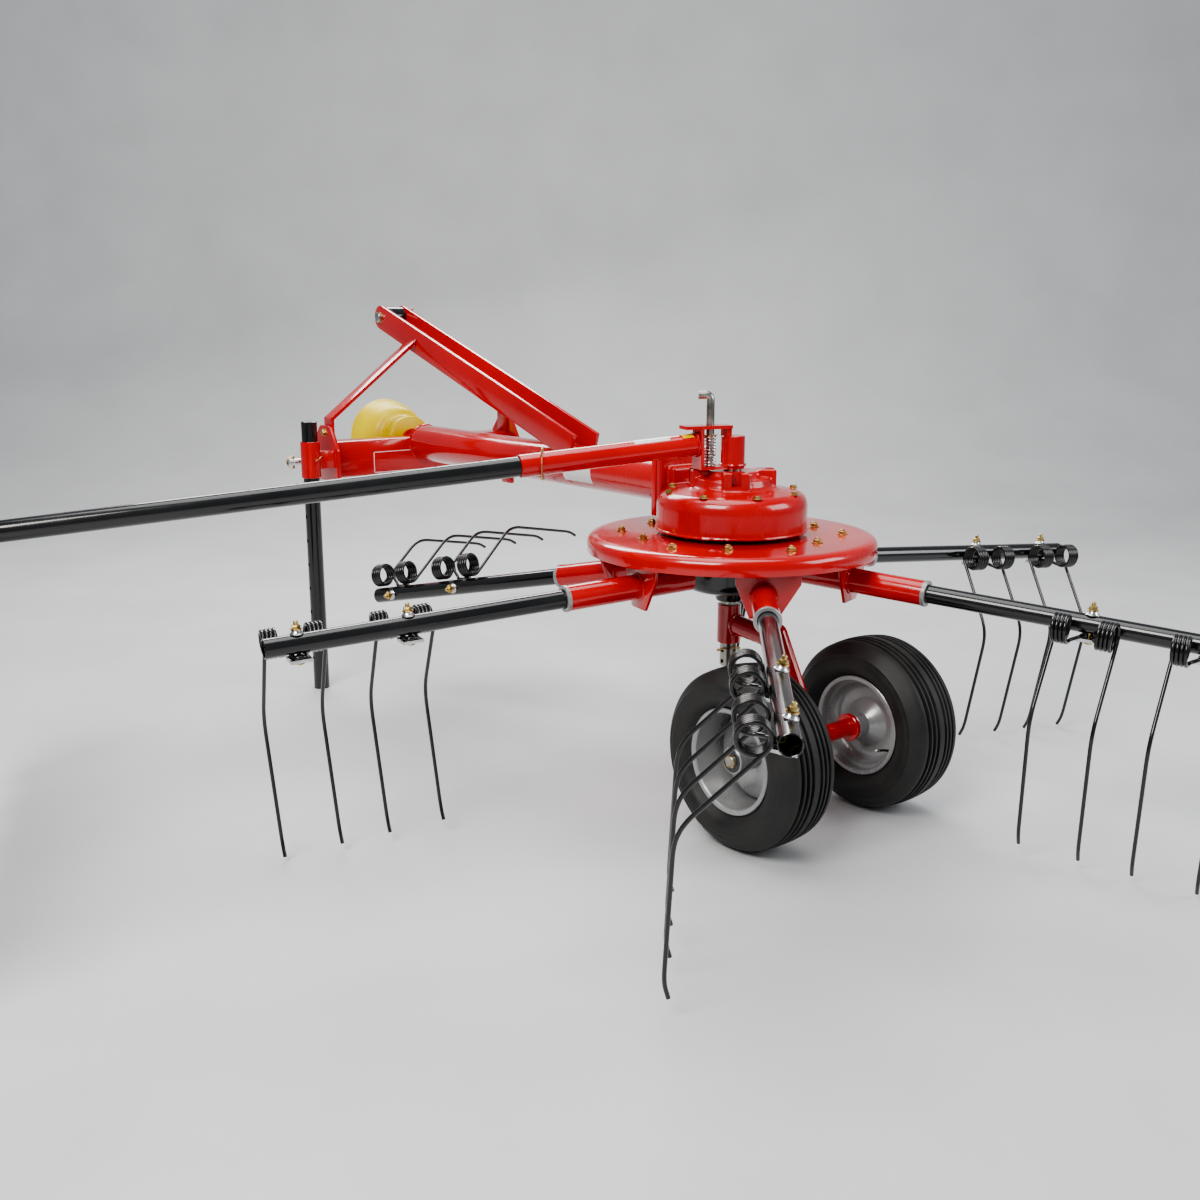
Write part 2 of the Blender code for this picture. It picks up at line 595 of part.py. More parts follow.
def make_wheels(frame, paint):
    caster = group("caster_axis", (0, 0, CASTER_LOW), frame)
    axle = Vector((0, -AXLE_BACK, WHEEL_RADIUS))
    rim_inner = WHEEL_OUT - WHEEL_WIDTH / 2 + 0.004
    tube_end = rim_inner - RUNNING_GAP
    sleeve_wall = CASTER_RADIUS - POST_RADIUS - RUNNING_GAP
    arm_z = (CASTER_LOW + CASTER_HIGH) / 2
    bar_top = Vector((CASTER_BAR_TOP, arm_z))
    bar_low = Vector((axle.y + 0.016, axle.z + 0.012))
    spindle = rod((-WHEEL_OUT - 0.060, axle.y, axle.z), (WHEEL_OUT + 0.060, axle.y, axle.z), SPINDLE_RADIUS,
                  12)
    flanges = [rod((side * tube_end, axle.y, axle.z), (side * (tube_end - 0.012), axle.y, axle.z), 0.033, 14)
               for side in (-1, 1)]
    bore = rod((0, 0, CASTER_LOW - 0.05), (0, 0, CASTER_HIGH + 0.05), POST_RADIUS + RUNNING_GAP, 16)
    piece("wheel_frame", rod((0, 0, CASTER_LOW), (0, 0, CASTER_HIGH),
                             POST_RADIUS + RUNNING_GAP + sleeve_wall, 16),
          paint["red"], caster,
          added=[rod((0, -0.010, arm_z), (0, CASTER_BAR_TOP + 0.004, arm_z - 0.012), 0.024, 14),
                 plate(rounded_bar(bar_top, bar_low, 0.056), 0.016, side_plane(0)),
                 rod((-tube_end, axle.y, axle.z), (tube_end, axle.y, axle.z), AXLE_RADIUS, 14),
                 spindle] + flanges,
          cut=[bore])
    half, inner = WHEEL_WIDTH / 2, RIM_RADIUS + GAP
    edge = half - 0.026
    tyre = [(inner, -edge + 0.001), (RIM_RADIUS + 0.007, -edge - 0.0015),
            (RIM_RADIUS + 0.016, -half + 0.012), (RIM_RADIUS + 0.040, -half),
            (WHEEL_RADIUS - 0.034, -half + 0.004), (WHEEL_RADIUS - 0.014, -half + 0.016),
            (WHEEL_RADIUS - 0.004, -half + 0.036),
            (WHEEL_RADIUS, -0.022)]
    tyre += [(radius, -height) for radius, height in reversed(tyre)]
    hub_bore = SPINDLE_RADIUS + RUNNING_GAP
    rim = [(hub_bore, -half + 0.004), (HUB_TUBE_RADIUS, -half + 0.004), (HUB_TUBE_RADIUS, -half + 0.036),
           (0.062, -0.018), (0.086, -0.020), (RIM_RADIUS - 0.006, -0.042),
           (RIM_RADIUS - 0.006, -edge - 0.006),
           (RIM_RADIUS + 0.006, -edge - 0.006), (RIM_RADIUS, -edge), (RIM_RADIUS, edge),
           (RIM_RADIUS + 0.006, edge + 0.006), (RIM_RADIUS - 0.006, edge + 0.006),
           (RIM_RADIUS - 0.006, -0.030), (0.088, -0.011), (HUB_TUBE_RADIUS, -0.012),
           (HUB_TUBE_RADIUS, half - 0.030), (hub_bore, half - 0.030)]
    for side, name in ((-1, "left"), (1, "right")):
        centre = Vector((side * WHEEL_OUT, axle.y, axle.z))
        body = group(f"{name}_wheel_axis", centre, caster)
        place = along(centre, centre + Vector((side, 0, 0)))
        piece(f"{name}_tyre", turned(tyre, 24, place), paint["rubber"], body)
        piece(f"{name}_rim", turned(rim, 24, place), paint["grey"], body)


def make_deflector(frame, paint):
    swing = group("swing_axis", (0, 0, BOSS_HIGH), frame)
    out, across = heading_vector(SWING_HEADING), heading_vector(SWING_HEADING + 90)
    slope = math.radians(DEFLECTOR_SLOPE)
    outward = out * math.cos(slope) - Vector((0, 0, math.sin(slope)))
    flat = placed((0, 0, 0), out, -across)
    plate_out = DEFLECTOR_START - GAP
    low = BOSS_HIGH + 0.004 + GAP
    high = DEFLECTOR_HEIGHT + 0.036
    half = 0.026

    def bracket(start, end, width, bottom, top):
        body = block((start, -width, bottom), (end, width, top))
        body.transform(flat)
        return body

    def at(distance):
        return Vector((0, 0, DEFLECTOR_HEIGHT)) + outward * distance

    sleeve = [(POST_RADIUS + RUNNING_GAP, low), (SWING_RADIUS + 0.001, low),
              (SWING_RADIUS + 0.001, SWING_HIGH),
              (0, SWING_HIGH), (0, POST_HIGH + RUNNING_GAP),
              (POST_RADIUS + RUNNING_GAP, POST_HIGH + RUNNING_GAP)]
    pin_at = out * PIN_OUT
    pin_radius = 0.0095
    piece("swing_bracket", turned(sleeve, 16), paint["red"], swing,
          added=[bracket(0.0255, plate_out - WELD, half, low + 0.001, low + SWING_PLATE),
                 bracket(plate_out - SWING_PLATE, plate_out, half - 0.001, low + WELD, high - WELD),
                 bracket(0.012, plate_out + 0.036, half - 0.003, high - SWING_PLATE, high),
                 bracket(0.012, 0.024, 0.018, SWING_HIGH - WELD, high - WELD)],
          cut=[rod(pin_at + Vector((0, 0, low - 0.05)), pin_at + Vector((0, 0, high + 0.05)),
                   pin_radius + 2 * GAP, 16)])
    top = pin_at + Vector((0, 0, 0.975))
    bend = heading_vector(SWING_HEADING + 25)
    pin_path = [pin_at + Vector((0, 0, low)), top - Vector((0, 0, 0.014)),
                top - Vector((0, 0, 0.004)) + bend * 0.004,
                top + bend * 0.014, top + bend * 0.030 - Vector((0, 0, 0.002))]
    piece("lock_pin", wire(pin_path, pin_radius, 2), paint["steel"], swing)
    bore = POLE_RADIUS + RUNNING_GAP
    tube_start = (DEFLECTOR_START + DEFLECTOR_RADIUS * math.sin(slope)) / math.cos(slope)
    piece("deflector_tube", pipe(at(tube_start), at(DEFLECTOR_TUBE_END), DEFLECTOR_RADIUS,
                                 DEFLECTOR_RADIUS - bore, 16), paint["red"], swing)

    slide = group("pole_slide", at(POLE_START), swing)
    piece("deflector_pole", pipe(at(POLE_START), at(POLE_END), POLE_RADIUS, POLE_WALL, 16), paint["black"],
          slide)
    hang = at(POLE_END + GAP) + out * CURTAIN_BAR_RADIUS / math.cos(slope)
    ends = [hang + across * side * CURTAIN_LENGTH / 2 for side in (-1, 1)]
    piece("curtain_bar", rod(ends[0], ends[1], CURTAIN_BAR_RADIUS, 16), paint["black"], slide)
    sheet = block((-CURTAIN_THICK / 2, -CURTAIN_LENGTH / 2, -CURTAIN_BAR_RADIUS - GAP - CURTAIN_DROP),
                  (CURTAIN_THICK / 2, CURTAIN_LENGTH / 2, -CURTAIN_BAR_RADIUS - GAP))
    sheet.transform(Matrix.Translation(hang) @ flat)
    piece("curtain", sheet, paint["canvas"], slide)


def centre_on_floor(root):
    """Moves the machine so that the middle of its footprint is the origin."""
    bpy.context.view_layer.update()
    graph = bpy.context.evaluated_depsgraph_get()
    low, high = Vector((1e9,) * 3), Vector((-1e9,) * 3)
    for thing in bpy.context.scene.objects:
        if thing.type != "MESH" or thing.hide_render:
            continue
        evaluated = thing.evaluated_get(graph)
        for vertex in evaluated.data.vertices:
            point = evaluated.matrix_world @ vertex.co
            low = Vector(map(min, low, point))
            high = Vector(map(max, high, point))
    root.location = (-(low.x + high.x) / 2, -(low.y + high.y) / 2, -low.z)
    print("machine frame moved by", tuple(round(value, 6) for value in root.location))


def main():
    for thing in list(bpy.data.objects):
        bpy.data.objects.remove(thing)
    paint = {
        "red": material("red_paint", (0.58, 0.008, 0.006), 0.30),
        "black": material("black_paint", (0.012, 0.012, 0.013), 0.25),
        "steel": material("bare_steel", (0.42, 0.41, 0.39), 0.35, 0.9),
        "zinc": material("zinc_plate", (0.66, 0.60, 0.45), 0.35, 0.9),
        "grey": material("rim_paint", (0.40, 0.40, 0.41), 0.40),
        "rubber": material("tyre_rubber", (0.018, 0.018, 0.018), 0.75),
        "yellow": material("guard_plastic", (0.80, 0.62, 0.01), 0.40),
        "canvas": material("curtain_canvas", (0.02, 0.02, 0.022), 0.85),
    }
    frame = group("machine")
    top_y, mast_foot = make_headstock(frame, paint)
    make_mast(frame, paint, top_y, mast_foot)
    make_boom(frame, paint)
    make_guard(frame, paint)
    make_input_shaft(frame, paint)
    make_leg(frame, paint)
    make_gearbox(frame, paint)
    make_rotor(frame, paint)
    make_wheels(frame, paint)
    make_deflector(frame, paint)
    centre_on_floor(frame)


main()
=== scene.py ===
import json
import math

import bmesh
import bpy
from mathutils import Matrix, Vector, noise


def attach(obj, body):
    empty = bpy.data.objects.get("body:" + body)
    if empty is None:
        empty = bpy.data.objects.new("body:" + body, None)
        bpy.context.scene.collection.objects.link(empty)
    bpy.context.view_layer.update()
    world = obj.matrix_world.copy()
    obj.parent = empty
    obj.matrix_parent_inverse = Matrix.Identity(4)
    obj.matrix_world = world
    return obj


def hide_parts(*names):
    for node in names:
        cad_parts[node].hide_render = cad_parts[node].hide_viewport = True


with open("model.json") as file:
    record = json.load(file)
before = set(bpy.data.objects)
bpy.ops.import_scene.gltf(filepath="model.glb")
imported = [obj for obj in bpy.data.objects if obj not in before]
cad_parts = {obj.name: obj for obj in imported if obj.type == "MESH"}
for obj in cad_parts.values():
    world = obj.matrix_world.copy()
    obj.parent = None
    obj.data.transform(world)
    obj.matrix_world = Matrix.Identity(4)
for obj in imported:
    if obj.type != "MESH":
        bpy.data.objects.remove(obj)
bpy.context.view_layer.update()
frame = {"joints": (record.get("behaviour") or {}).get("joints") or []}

# Everything is modelled about the rotor's axis, with the floor at zero, and moved to the frame at the end.
rotorJoint = next(joint for joint in frame["joints"] if joint["name"] == "rotor_spin")
machineShift = Matrix.Translation((rotorJoint["pos_m"][0], rotorJoint["pos_m"][1], 0))


def headingVector(degrees):
    turn = math.radians(degrees)
    return Vector((math.sin(turn), math.cos(turn), 0))


def placed(origin, xAxis, yAxis):
    first = Vector(xAxis).normalized()
    third = first.cross(Vector(yAxis)).normalized()
    return Matrix.Translation(origin) @ Matrix((first, third.cross(first), third)).transposed().to_4x4()


def along(start, end):  # a matrix whose Z runs from start to end
    direction = (Vector(end) - Vector(start)).normalized()
    helper = Vector((0, 0, 1)) if abs(direction.z) < 0.9 else Vector((1, 0, 0))
    side = helper.cross(direction).normalized()
    return Matrix.Translation(start) @ Matrix((side, direction.cross(side), direction)).transposed().to_4x4()


# the materials, all from nodes
def newMaterial(name):
    made = bpy.data.materials.new(name)
    made.use_nodes = True
    return made, made.node_tree, made.node_tree.nodes["Principled BSDF"]


def noiseNode(tree, scale, detail=4.0, stretch=(1, 1, 1)):
    coords = tree.nodes.new("ShaderNodeTexCoord")
    mapping = tree.nodes.new("ShaderNodeMapping")
    mapping.inputs["Scale"].default_value = stretch
    texture = tree.nodes.new("ShaderNodeTexNoise")
    texture.inputs["Scale"].default_value = scale
    texture.inputs["Detail"].default_value = detail
    tree.links.new(coords.outputs["Object"], mapping.inputs["Vector"])
    tree.links.new(mapping.outputs["Vector"], texture.inputs["Vector"])
    return texture.outputs["Fac"]


def rampNode(tree, value, stops):
    ramp = tree.nodes.new("ShaderNodeValToRGB")
    for number, (place, colour) in enumerate(stops):
        stop = ramp.color_ramp.elements[number] if number < 2 else ramp.color_ramp.elements.new(place)
        stop.position, stop.color = place, (*colour, 1)
    tree.links.new(value, ramp.inputs["Fac"])
    return ramp.outputs["Color"]


def addBump(tree, shader, height, strength, distance, normal=None):
    bump = tree.nodes.new("ShaderNodeBump")
    bump.inputs["Strength"].default_value = strength
    bump.inputs["Distance"].default_value = distance
    tree.links.new(height, bump.inputs["Height"])
    if normal:
        tree.links.new(normal, bump.inputs["Normal"])
    tree.links.new(bump.outputs["Normal"], shader.inputs["Normal"])
    return bump.outputs["Normal"]


def grey(value):
    return (value, value, value)


def gloss(name, look):  # enamel: colour drift, dusty patches, orange peel and fine scuffs
    made, tree, shader = newMaterial(name)
    deep, main, dust = look["deep"], look["main"], look["dust"]
    drift = noiseNode(tree, look["driftScale"], 3)
    base = rampNode(tree, drift, [(0.30, deep), (0.72, main)])
    patches = noiseNode(tree, look["dustScale"], 8, (1, 1, 0.5))
    cover = rampNode(tree, patches, [(0.54, grey(0.0)), (0.86, grey(look["dustCover"]))])
    mix = tree.nodes.new("ShaderNodeMix")
    mix.data_type = "RGBA"
    tree.links.new(cover, mix.inputs["Factor"])
    tree.links.new(base, mix.inputs["A"])
    mix.inputs["B"].default_value = (*dust, 1)
    tree.links.new(mix.outputs["Result"], shader.inputs["Base Color"])
    low, high = look["roughness"]
    tree.links.new(rampNode(tree, patches, [(0.35, grey(low)), (0.85, grey(high))]),
        shader.inputs["Roughness"])
    shader.inputs["Coat Weight"].default_value = look["coat"]
    shader.inputs["Coat Roughness"].default_value = 0.06
    shader.inputs["Metallic"].default_value = look.get("metallic", 0.0)
    peel = addBump(tree, shader, noiseNode(tree, 260, 2), look["peel"], 0.0006)
    addBump(tree, shader, noiseNode(tree, 34, 3), look["wave"], 0.0012, peel)
    return made


def metal(name, look):  # plated or bare steel with brushing and cloudy stains
    made, tree, shader = newMaterial(name)
    clouds = noiseNode(tree, look["cloudScale"], 6)
    tree.links.new(rampNode(tree, clouds, [(0.32, look["dark"]), (0.60, look["main"]),
        (0.82, look["tint"])]), shader.inputs["Base Color"])
    low, high = look["roughness"]
    tree.links.new(rampNode(tree, clouds, [(0.3, grey(low)), (0.8, grey(high))]), shader.inputs["Roughness"])
    shader.inputs["Metallic"].default_value = 1.0
    brushed = noiseNode(tree, 180, 2, look["brush"])
    addBump(tree, shader, brushed, 0.10, 0.0005)
    return made


def rubberMaterial(look):
    made, tree, shader = newMaterial("tyreRubber")
    mottled = noiseNode(tree, look["dustScale"], 8)
    tree.links.new(rampNode(tree, mottled, [(0.35, look["main"]), (0.78, look["dusty"])]),
        shader.inputs["Base Color"])
    tree.links.new(rampNode(tree, mottled, [(0.3, grey(0.48)), (0.8, grey(0.72))]),
        shader.inputs["Roughness"])
    grain = addBump(tree, shader, noiseNode(tree, 900, 2), 0.12, 0.0004)
    addBump(tree, shader, noiseNode(tree, 60, 4), 0.10, 0.001, grain)
    return made


def plasticMaterial(look):
    made, tree, shader = newMaterial("guardPlastic")
    drift = noiseNode(tree, 9, 5)
    tree.links.new(rampNode(tree, drift, [(0.3, look["deep"]), (0.75, look["main"])]),
        shader.inputs["Base Color"])
    tree.links.new(rampNode(tree, drift, [(0.3, grey(0.28)), (0.8, grey(0.44))]), shader.inputs["Roughness"])
    shader.inputs["Subsurface Weight"].default_value = 0.05
    addBump(tree, shader, noiseNode(tree, 420, 2), 0.08, 0.0005)
    return made


def canvasMaterial(look):  # coated woven cloth, by its own UV map
    made, tree, shader = newMaterial("curtainCanvas")
    uv = tree.nodes.new("ShaderNodeUVMap")
    uv.uv_map = "cloth"
    waves = []
    for axis in ("X", "Y"):
        wave = tree.nodes.new("ShaderNodeTexWave")
        wave.bands_direction = axis
        wave.inputs["Scale"].default_value = look["threads"]
        wave.inputs["Distortion"].default_value = 0.6
        tree.links.new(uv.outputs["UV"], wave.inputs["Vector"])
        waves.append(wave.outputs["Fac"])
    weave = tree.nodes.new("ShaderNodeMath")
    weave.operation = "MULTIPLY"
    tree.links.new(waves[0], weave.inputs[0])
    tree.links.new(waves[1], weave.inputs[1])
    stains = noiseNode(tree, 5, 6)
    tree.links.new(rampNode(tree, stains, [(0.35, look["main"]), (0.8, look["dusty"])]),
        shader.inputs["Base Color"])
    tree.links.new(rampNode(tree, stains, [(0.3, grey(0.55)), (0.8, grey(0.8))]), shader.inputs["Roughness"])
    shader.inputs["Sheen Weight"].default_value = 0.2
    addBump(tree, shader, weave.outputs[0], 0.35, 0.0008)
    return made


paint = {"red": gloss("redEnamel", {"deep": (0.46, 0.002, 0.002), "main": (0.60, 0.004, 0.003),
    "dust": (0.50, 0.06, 0.04), "driftScale": 3.2, "dustScale": 7, "dustCover": 0.10, "roughness": (0.16,
    0.34), "coat": 0.7, "peel": 0.05, "wave": 0.05}), "cast": gloss("redCasting",
    {"deep": (0.44, 0.002, 0.002), "main": (0.58, 0.004, 0.003), "dust": (0.46, 0.05, 0.035),
    "driftScale": 5, "dustScale": 11, "dustCover": 0.14, "roughness": (0.20, 0.38), "coat": 0.6,
    "peel": 0.16, "wave": 0.30}), "black": gloss("blackEnamel", {"deep": (0.003, 0.003, 0.0035),
    "main": (0.007, 0.007, 0.0075), "dust": (0.04, 0.036, 0.03), "driftScale": 4, "dustScale": 9,
    "dustCover": 0.16, "roughness": (0.14, 0.34), "coat": 0.6, "peel": 0.05, "wave": 0.05}),
    "wire": gloss("springWire", {"deep": (0.003, 0.003, 0.003), "main": (0.009, 0.008, 0.007),
    "dust": (0.05, 0.036, 0.024), "driftScale": 9, "dustScale": 16, "dustCover": 0.22, "roughness": (0.18,
    0.38), "coat": 0.5, "peel": 0.05, "wave": 0.03}), "rim": gloss("rimGrey", {"deep": (0.28, 0.28, 0.28),
    "main": (0.40, 0.40, 0.40), "dust": (0.34, 0.31, 0.27), "driftScale": 6, "dustScale": 12,
    "dustCover": 0.35, "roughness": (0.24, 0.42), "coat": 0.25, "peel": 0.06, "wave": 0.10,
    "metallic": 0.35}), "label": gloss("blankLabel", {"deep": (0.74, 0.74, 0.72), "main": (0.84, 0.84,
    0.83), "dust": (0.55, 0.52, 0.48), "driftScale": 20, "dustScale": 30, "dustCover": 0.2,
    "roughness": (0.25, 0.4), "coat": 0.3, "peel": 0.02, "wave": 0.03}), "labelYellow": gloss("yellowLabel",
    {"deep": (0.72, 0.50, 0.01), "main": (0.84, 0.62, 0.02), "dust": (0.5, 0.4, 0.2), "driftScale": 20,
    "dustScale": 30, "dustCover": 0.2, "roughness": (0.25, 0.4), "coat": 0.3, "peel": 0.02, "wave": 0.03}),
    "steel": metal("bareSteel", {"dark": (0.22, 0.20, 0.17), "main": (0.50, 0.48, 0.44), "tint": (0.60,
    0.57, 0.50), "cloudScale": 26, "roughness": (0.22, 0.42), "brush": (1, 1, 12)}),
    "zinc": metal("brightZinc", {"dark": (0.46, 0.47, 0.48), "main": (0.70, 0.70, 0.70), "tint": (0.78,
    0.76, 0.72), "cloudScale": 50, "roughness": (0.18, 0.36), "brush": (1, 1, 1)}),
    "gold": metal("yellowZinc", {"dark": (0.42, 0.27, 0.10), "main": (0.74, 0.58, 0.26), "tint": (0.72,
    0.62, 0.42), "cloudScale": 60, "roughness": (0.20, 0.36), "brush": (1, 1, 1)}),
    "rubber": rubberMaterial({"main": (0.012, 0.012, 0.012), "dusty": (0.035, 0.033, 0.030),
    "dustScale": 14}), "plastic": plasticMaterial({"deep": (0.72, 0.52, 0.004), "main": (0.86, 0.68,
    0.012)}), "canvas": canvasMaterial({"main": (0.014, 0.014, 0.015), "dusty": (0.045, 0.042, 0.038),
    "threads": 90}), }
print("materials made")


# the shapes, each a bmesh about the rotor's axis
def prism(outline, thickness, place):
    bm = bmesh.new()
    face = bm.faces.new([bm.verts.new((x, y, -thickness / 2)) for x, y in outline])
    grown = bmesh.ops.extrude_face_region(bm, geom=[face])
    moved = [item for item in grown["geom"] if isinstance(item, bmesh.types.BMVert)]
    bmesh.ops.translate(bm, verts=moved, vec=(0, 0, thickness))
    bm.transform(place)
    return bm


def blockShape(low, high, place=None):
    bm = bmesh.new()
    low, high = Vector(low), Vector(high)
    bmesh.ops.create_cube(bm, size=1.0)
    bm.transform(Matrix.Translation((low + high) / 2) @ Matrix.Diagonal((*(high - low), 1)))
    if place is not None:
        bm.transform(place)
    return bm


def turnedShape(profile, steps, place=None):
    bm = bmesh.new()
    points = [bm.verts.new((radius, 0, height)) for radius, height in profile]
    edges = [bm.edges.new((points[i - 1], points[i])) for i in range(len(points))]
    bmesh.ops.spin(bm, geom=points + edges, cent=(0, 0, 0), axis=(0, 0, 1), angle=2 * math.pi, steps=steps,
        use_merge=True)
    bmesh.ops.remove_doubles(bm, verts=bm.verts, dist=1e-6)
    if place is not None:
        bm.transform(place)
    return bm


def tubeShape(start, end, radius, wall, steps=40, soft=0.0012):  # an open tube with softened ends
    length = (Vector(end) - Vector(start)).length
    inner = radius - wall
    profile = [(inner, soft), (inner + soft, 0), (radius - soft, 0), (radius, soft),
        (radius, length - soft), (radius - soft, length), (inner + soft, length), (inner, length - soft)]
    return turnedShape(profile, steps, along(start, end))


def rodShape(start, end, radius, steps=24, soft=0.0010):
    length = (Vector(end) - Vector(start)).length
    profile = [(0, 0), (radius - soft, 0), (radius, soft), (radius, length - soft), (radius - soft, length),
        (0, length)]
    return turnedShape(profile, steps, along(start, end))


def hexShape(start, end, radius):
    return rodShape(start, end, radius, 6, radius * 0.12)


def roundedBar(start, end, width, roundStart=True, steps=14):
    start, end = Vector(start), Vector(end)
    direction = (end - start).normalized()
    base, half = math.atan2(direction.y, direction.x), width / 2
    points = [end + half * Vector((math.cos(base - math.pi / 2 + math.pi * i / steps),
        math.sin(base - math.pi / 2 + math.pi * i / steps))) for i in range(steps + 1)]
    side = half * Vector((-direction.y, direction.x))
    if not roundStart:
        return points + [start + side, start - side]
    return points + [start + half * Vector((math.cos(base + math.pi / 2 + math.pi * i / steps),
        math.sin(base + math.pi / 2 + math.pi * i / steps))) for i in range(steps + 1)]


def smoothCurve(points, perStretch=8):  # a Catmull-Rom curve through the points
    points = [Vector(point) for point in points]
    ends = [2 * points[0] - points[1]] + points + [2 * points[-1] - points[-2]]
    curve = []
    for a, b, c, d in zip(ends, ends[1:], ends[2:], ends[3:]):
        for step in range(perStretch):
            t = step / perStretch
            curve.append(0.5 * (2 * b + (c - a) * t + (2 * a - 5 * b + 4 * c - d) * t * t
                + (3 * b - a - 3 * c + d) * t ** 3))
    return curve + [points[-1]]


def joined(shapes):
    whole = bmesh.new()
    for shape in shapes:
        bmesh.ops.recalc_face_normals(shape, faces=shape.faces)
        if shape.calc_volume(signed=True) < 0:
            bmesh.ops.reverse_faces(shape, faces=shape.faces)
        mesh = meshFrom("shape", shape)
        whole.from_mesh(mesh)
        bpy.data.meshes.remove(mesh)
    return whole


def newObject(name, data):
    obj = bpy.data.objects.new(name, data)
    bpy.context.scene.collection.objects.link(obj)
    return obj


def meshFrom(name, bm):
    mesh = bpy.data.meshes.new(name)
    bm.to_mesh(mesh)
    bm.free()
    return mesh


def cutAway(obj, shapes, selfCrossing=False):
    bm = joined(shapes)
    bm.transform(machineShift)
    cutter = newObject("cutter", meshFrom("cutter", bm))
    cut = obj.modifiers.new("cut", "BOOLEAN")
    cut.operation, cut.object, cut.use_self = "DIFFERENCE", cutter, selfCrossing
    bakeModifiers(obj)
    bpy.data.objects.remove(cutter)


softAngle = 34  # faces that meet more sharply keep a hard edge


def finishPiece(obj, body, nodes=()):
    obj.data.shade_smooth()
    obj.data.set_sharp_from_angle(angle=math.radians(softAngle))
    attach(obj, body)
    if nodes:
        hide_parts(*nodes)
    return obj


def makePiece(name, shapes, finish, body, nodes=(), bevel=0.0, cuts=()):
    bm = joined(shapes)
    bm.transform(machineShift)
    mesh = meshFrom(name, bm)
    mesh.materials.append(paint[finish])
    obj = newObject(name, mesh)
    if cuts:
        cutAway(obj, cuts, selfCrossing=True)
    if bevel:
        edge = obj.modifiers.new("softEdges", "BEVEL")
        edge.width, edge.segments, edge.limit_method = bevel, 2, "ANGLE"
        edge.angle_limit = math.radians(38)
        edge.harden_normals = False
        bakeModifiers(obj)
    return finishPiece(obj, body, nodes)


def bakeModifiers(obj):
    bpy.context.view_layer.update()
    evaluated = obj.evaluated_get(bpy.context.evaluated_depsgraph_get())
    mesh = bpy.data.meshes.new_from_object(evaluated)
    obj.modifiers.clear()
    old = obj.data
    obj.data = mesh
    bpy.data.meshes.remove(old)


# Geometry Nodes: a wire swept along a line, and one shape set on many points
def newTree(name, inputs, output, kinds):
    tree = bpy.data.node_groups.new(name, "GeometryNodeTree")
    keys = {label: tree.interface.new_socket(label, in_out="INPUT", socket_type="NodeSocket"
        + kind).identifier for label, kind in inputs.items()}
    tree.interface.new_socket(output, in_out="OUTPUT", socket_type="NodeSocketGeometry")
    nodes = {"start": tree.nodes.new("NodeGroupInput"), "end": tree.nodes.new("NodeGroupOutput")}
    nodes |= {label: tree.nodes.new("GeometryNode" + kind) for label, kind in kinds.items()}
    return tree, keys, nodes


def linkNodes(tree, nodes, pairs):
    for (source, output), (target, entry) in pairs:
        tree.links.new(nodes[source].outputs[output], nodes[target].inputs[entry])


sweptWire, wireKeys, wireNodes = newTree("sweptWire", {"Line": "Geometry", "Wire Radius": "Float",
    "Sides": "Int", "Finish": "Material"}, "Wire", {"toCurve": "MeshToCurve",
    "circle": "CurvePrimitiveCircle", "sweep": "CurveToMesh", "realize": "RealizeInstances",
    "setFinish": "SetMaterial"})
wireNodes["sweep"].inputs["Fill Caps"].default_value = True
linkNodes(sweptWire, wireNodes, [(("start", "Line"), ("toCurve", "Mesh")), (("start", "Wire Radius"),
    ("circle", "Radius")), (("start", "Sides"), ("circle", "Resolution")), (("toCurve", "Curve"),
    ("sweep", "Curve")), (("circle", "Curve"), ("sweep", "Profile Curve")), (("sweep", "Mesh"),
    ("realize", "Geometry")), (("realize", "Geometry"), ("setFinish", "Geometry")), (("start", "Finish"),
    ("setFinish", "Material")), (("setFinish", "Geometry"), ("end", "Wire"))])

setOnPoints, shapeKeys, shapeNodes = newTree("setOnPoints", {"Points": "Geometry", "Shape": "Object",
    "Size": "Float", "Finish": "Material"}, "Result", {"info": "ObjectInfo", "place": "InstanceOnPoints",
    "turn": "InputNamedAttribute", "realize": "RealizeInstances", "setFinish": "SetMaterial"})
shapeNodes["turn"].data_type = "FLOAT_VECTOR"
shapeNodes["turn"].inputs["Name"].default_value = "turn"  # each point carries its own rotation
linkNodes(setOnPoints, shapeNodes, [(("start", "Points"), ("place", "Points")), (("start", "Shape"),
    ("info", "Object")), (("info", "Geometry"), ("place", "Instance")), (("turn", "Attribute"),
    ("place", "Rotation")), (("start", "Size"), ("place", "Scale")), (("place", "Instances"),
    ("realize", "Geometry")), (("realize", "Geometry"), ("setFinish", "Geometry")), (("start", "Finish"),
    ("setFinish", "Material")), (("setFinish", "Geometry"), ("end", "Result"))])


def makeWires(name, lines, radius, finish, body, nodes=(), sides=10):
    mesh = bpy.data.meshes.new(name)
    points, edges = [], []
    for line in lines:
        first = len(points)
        points += [machineShift @ Vector(point) for point in line]
        edges += [(i, i + 1) for i in range(first, len(points) - 1)]
    mesh.from_pydata(points, edges, [])
    obj = newObject(name, mesh)
    sweep = obj.modifiers.new("sweptWire", "NODES")
    sweep.node_group = sweptWire
    sweep[wireKeys["Wire Radius"]], sweep[wireKeys["Sides"]] = radius, sides
    sweep[wireKeys["Finish"]] = paint[finish]
    bakeModifiers(obj)
    bm = bmesh.new()
    bm.from_mesh(obj.data)
    bmesh.ops.remove_doubles(bm, verts=bm.verts, dist=1e-7)
    bmesh.ops.recalc_face_normals(bm, faces=bm.faces)
    bm.to_mesh(obj.data)
    bm.free()
    return finishPiece(obj, body, nodes)


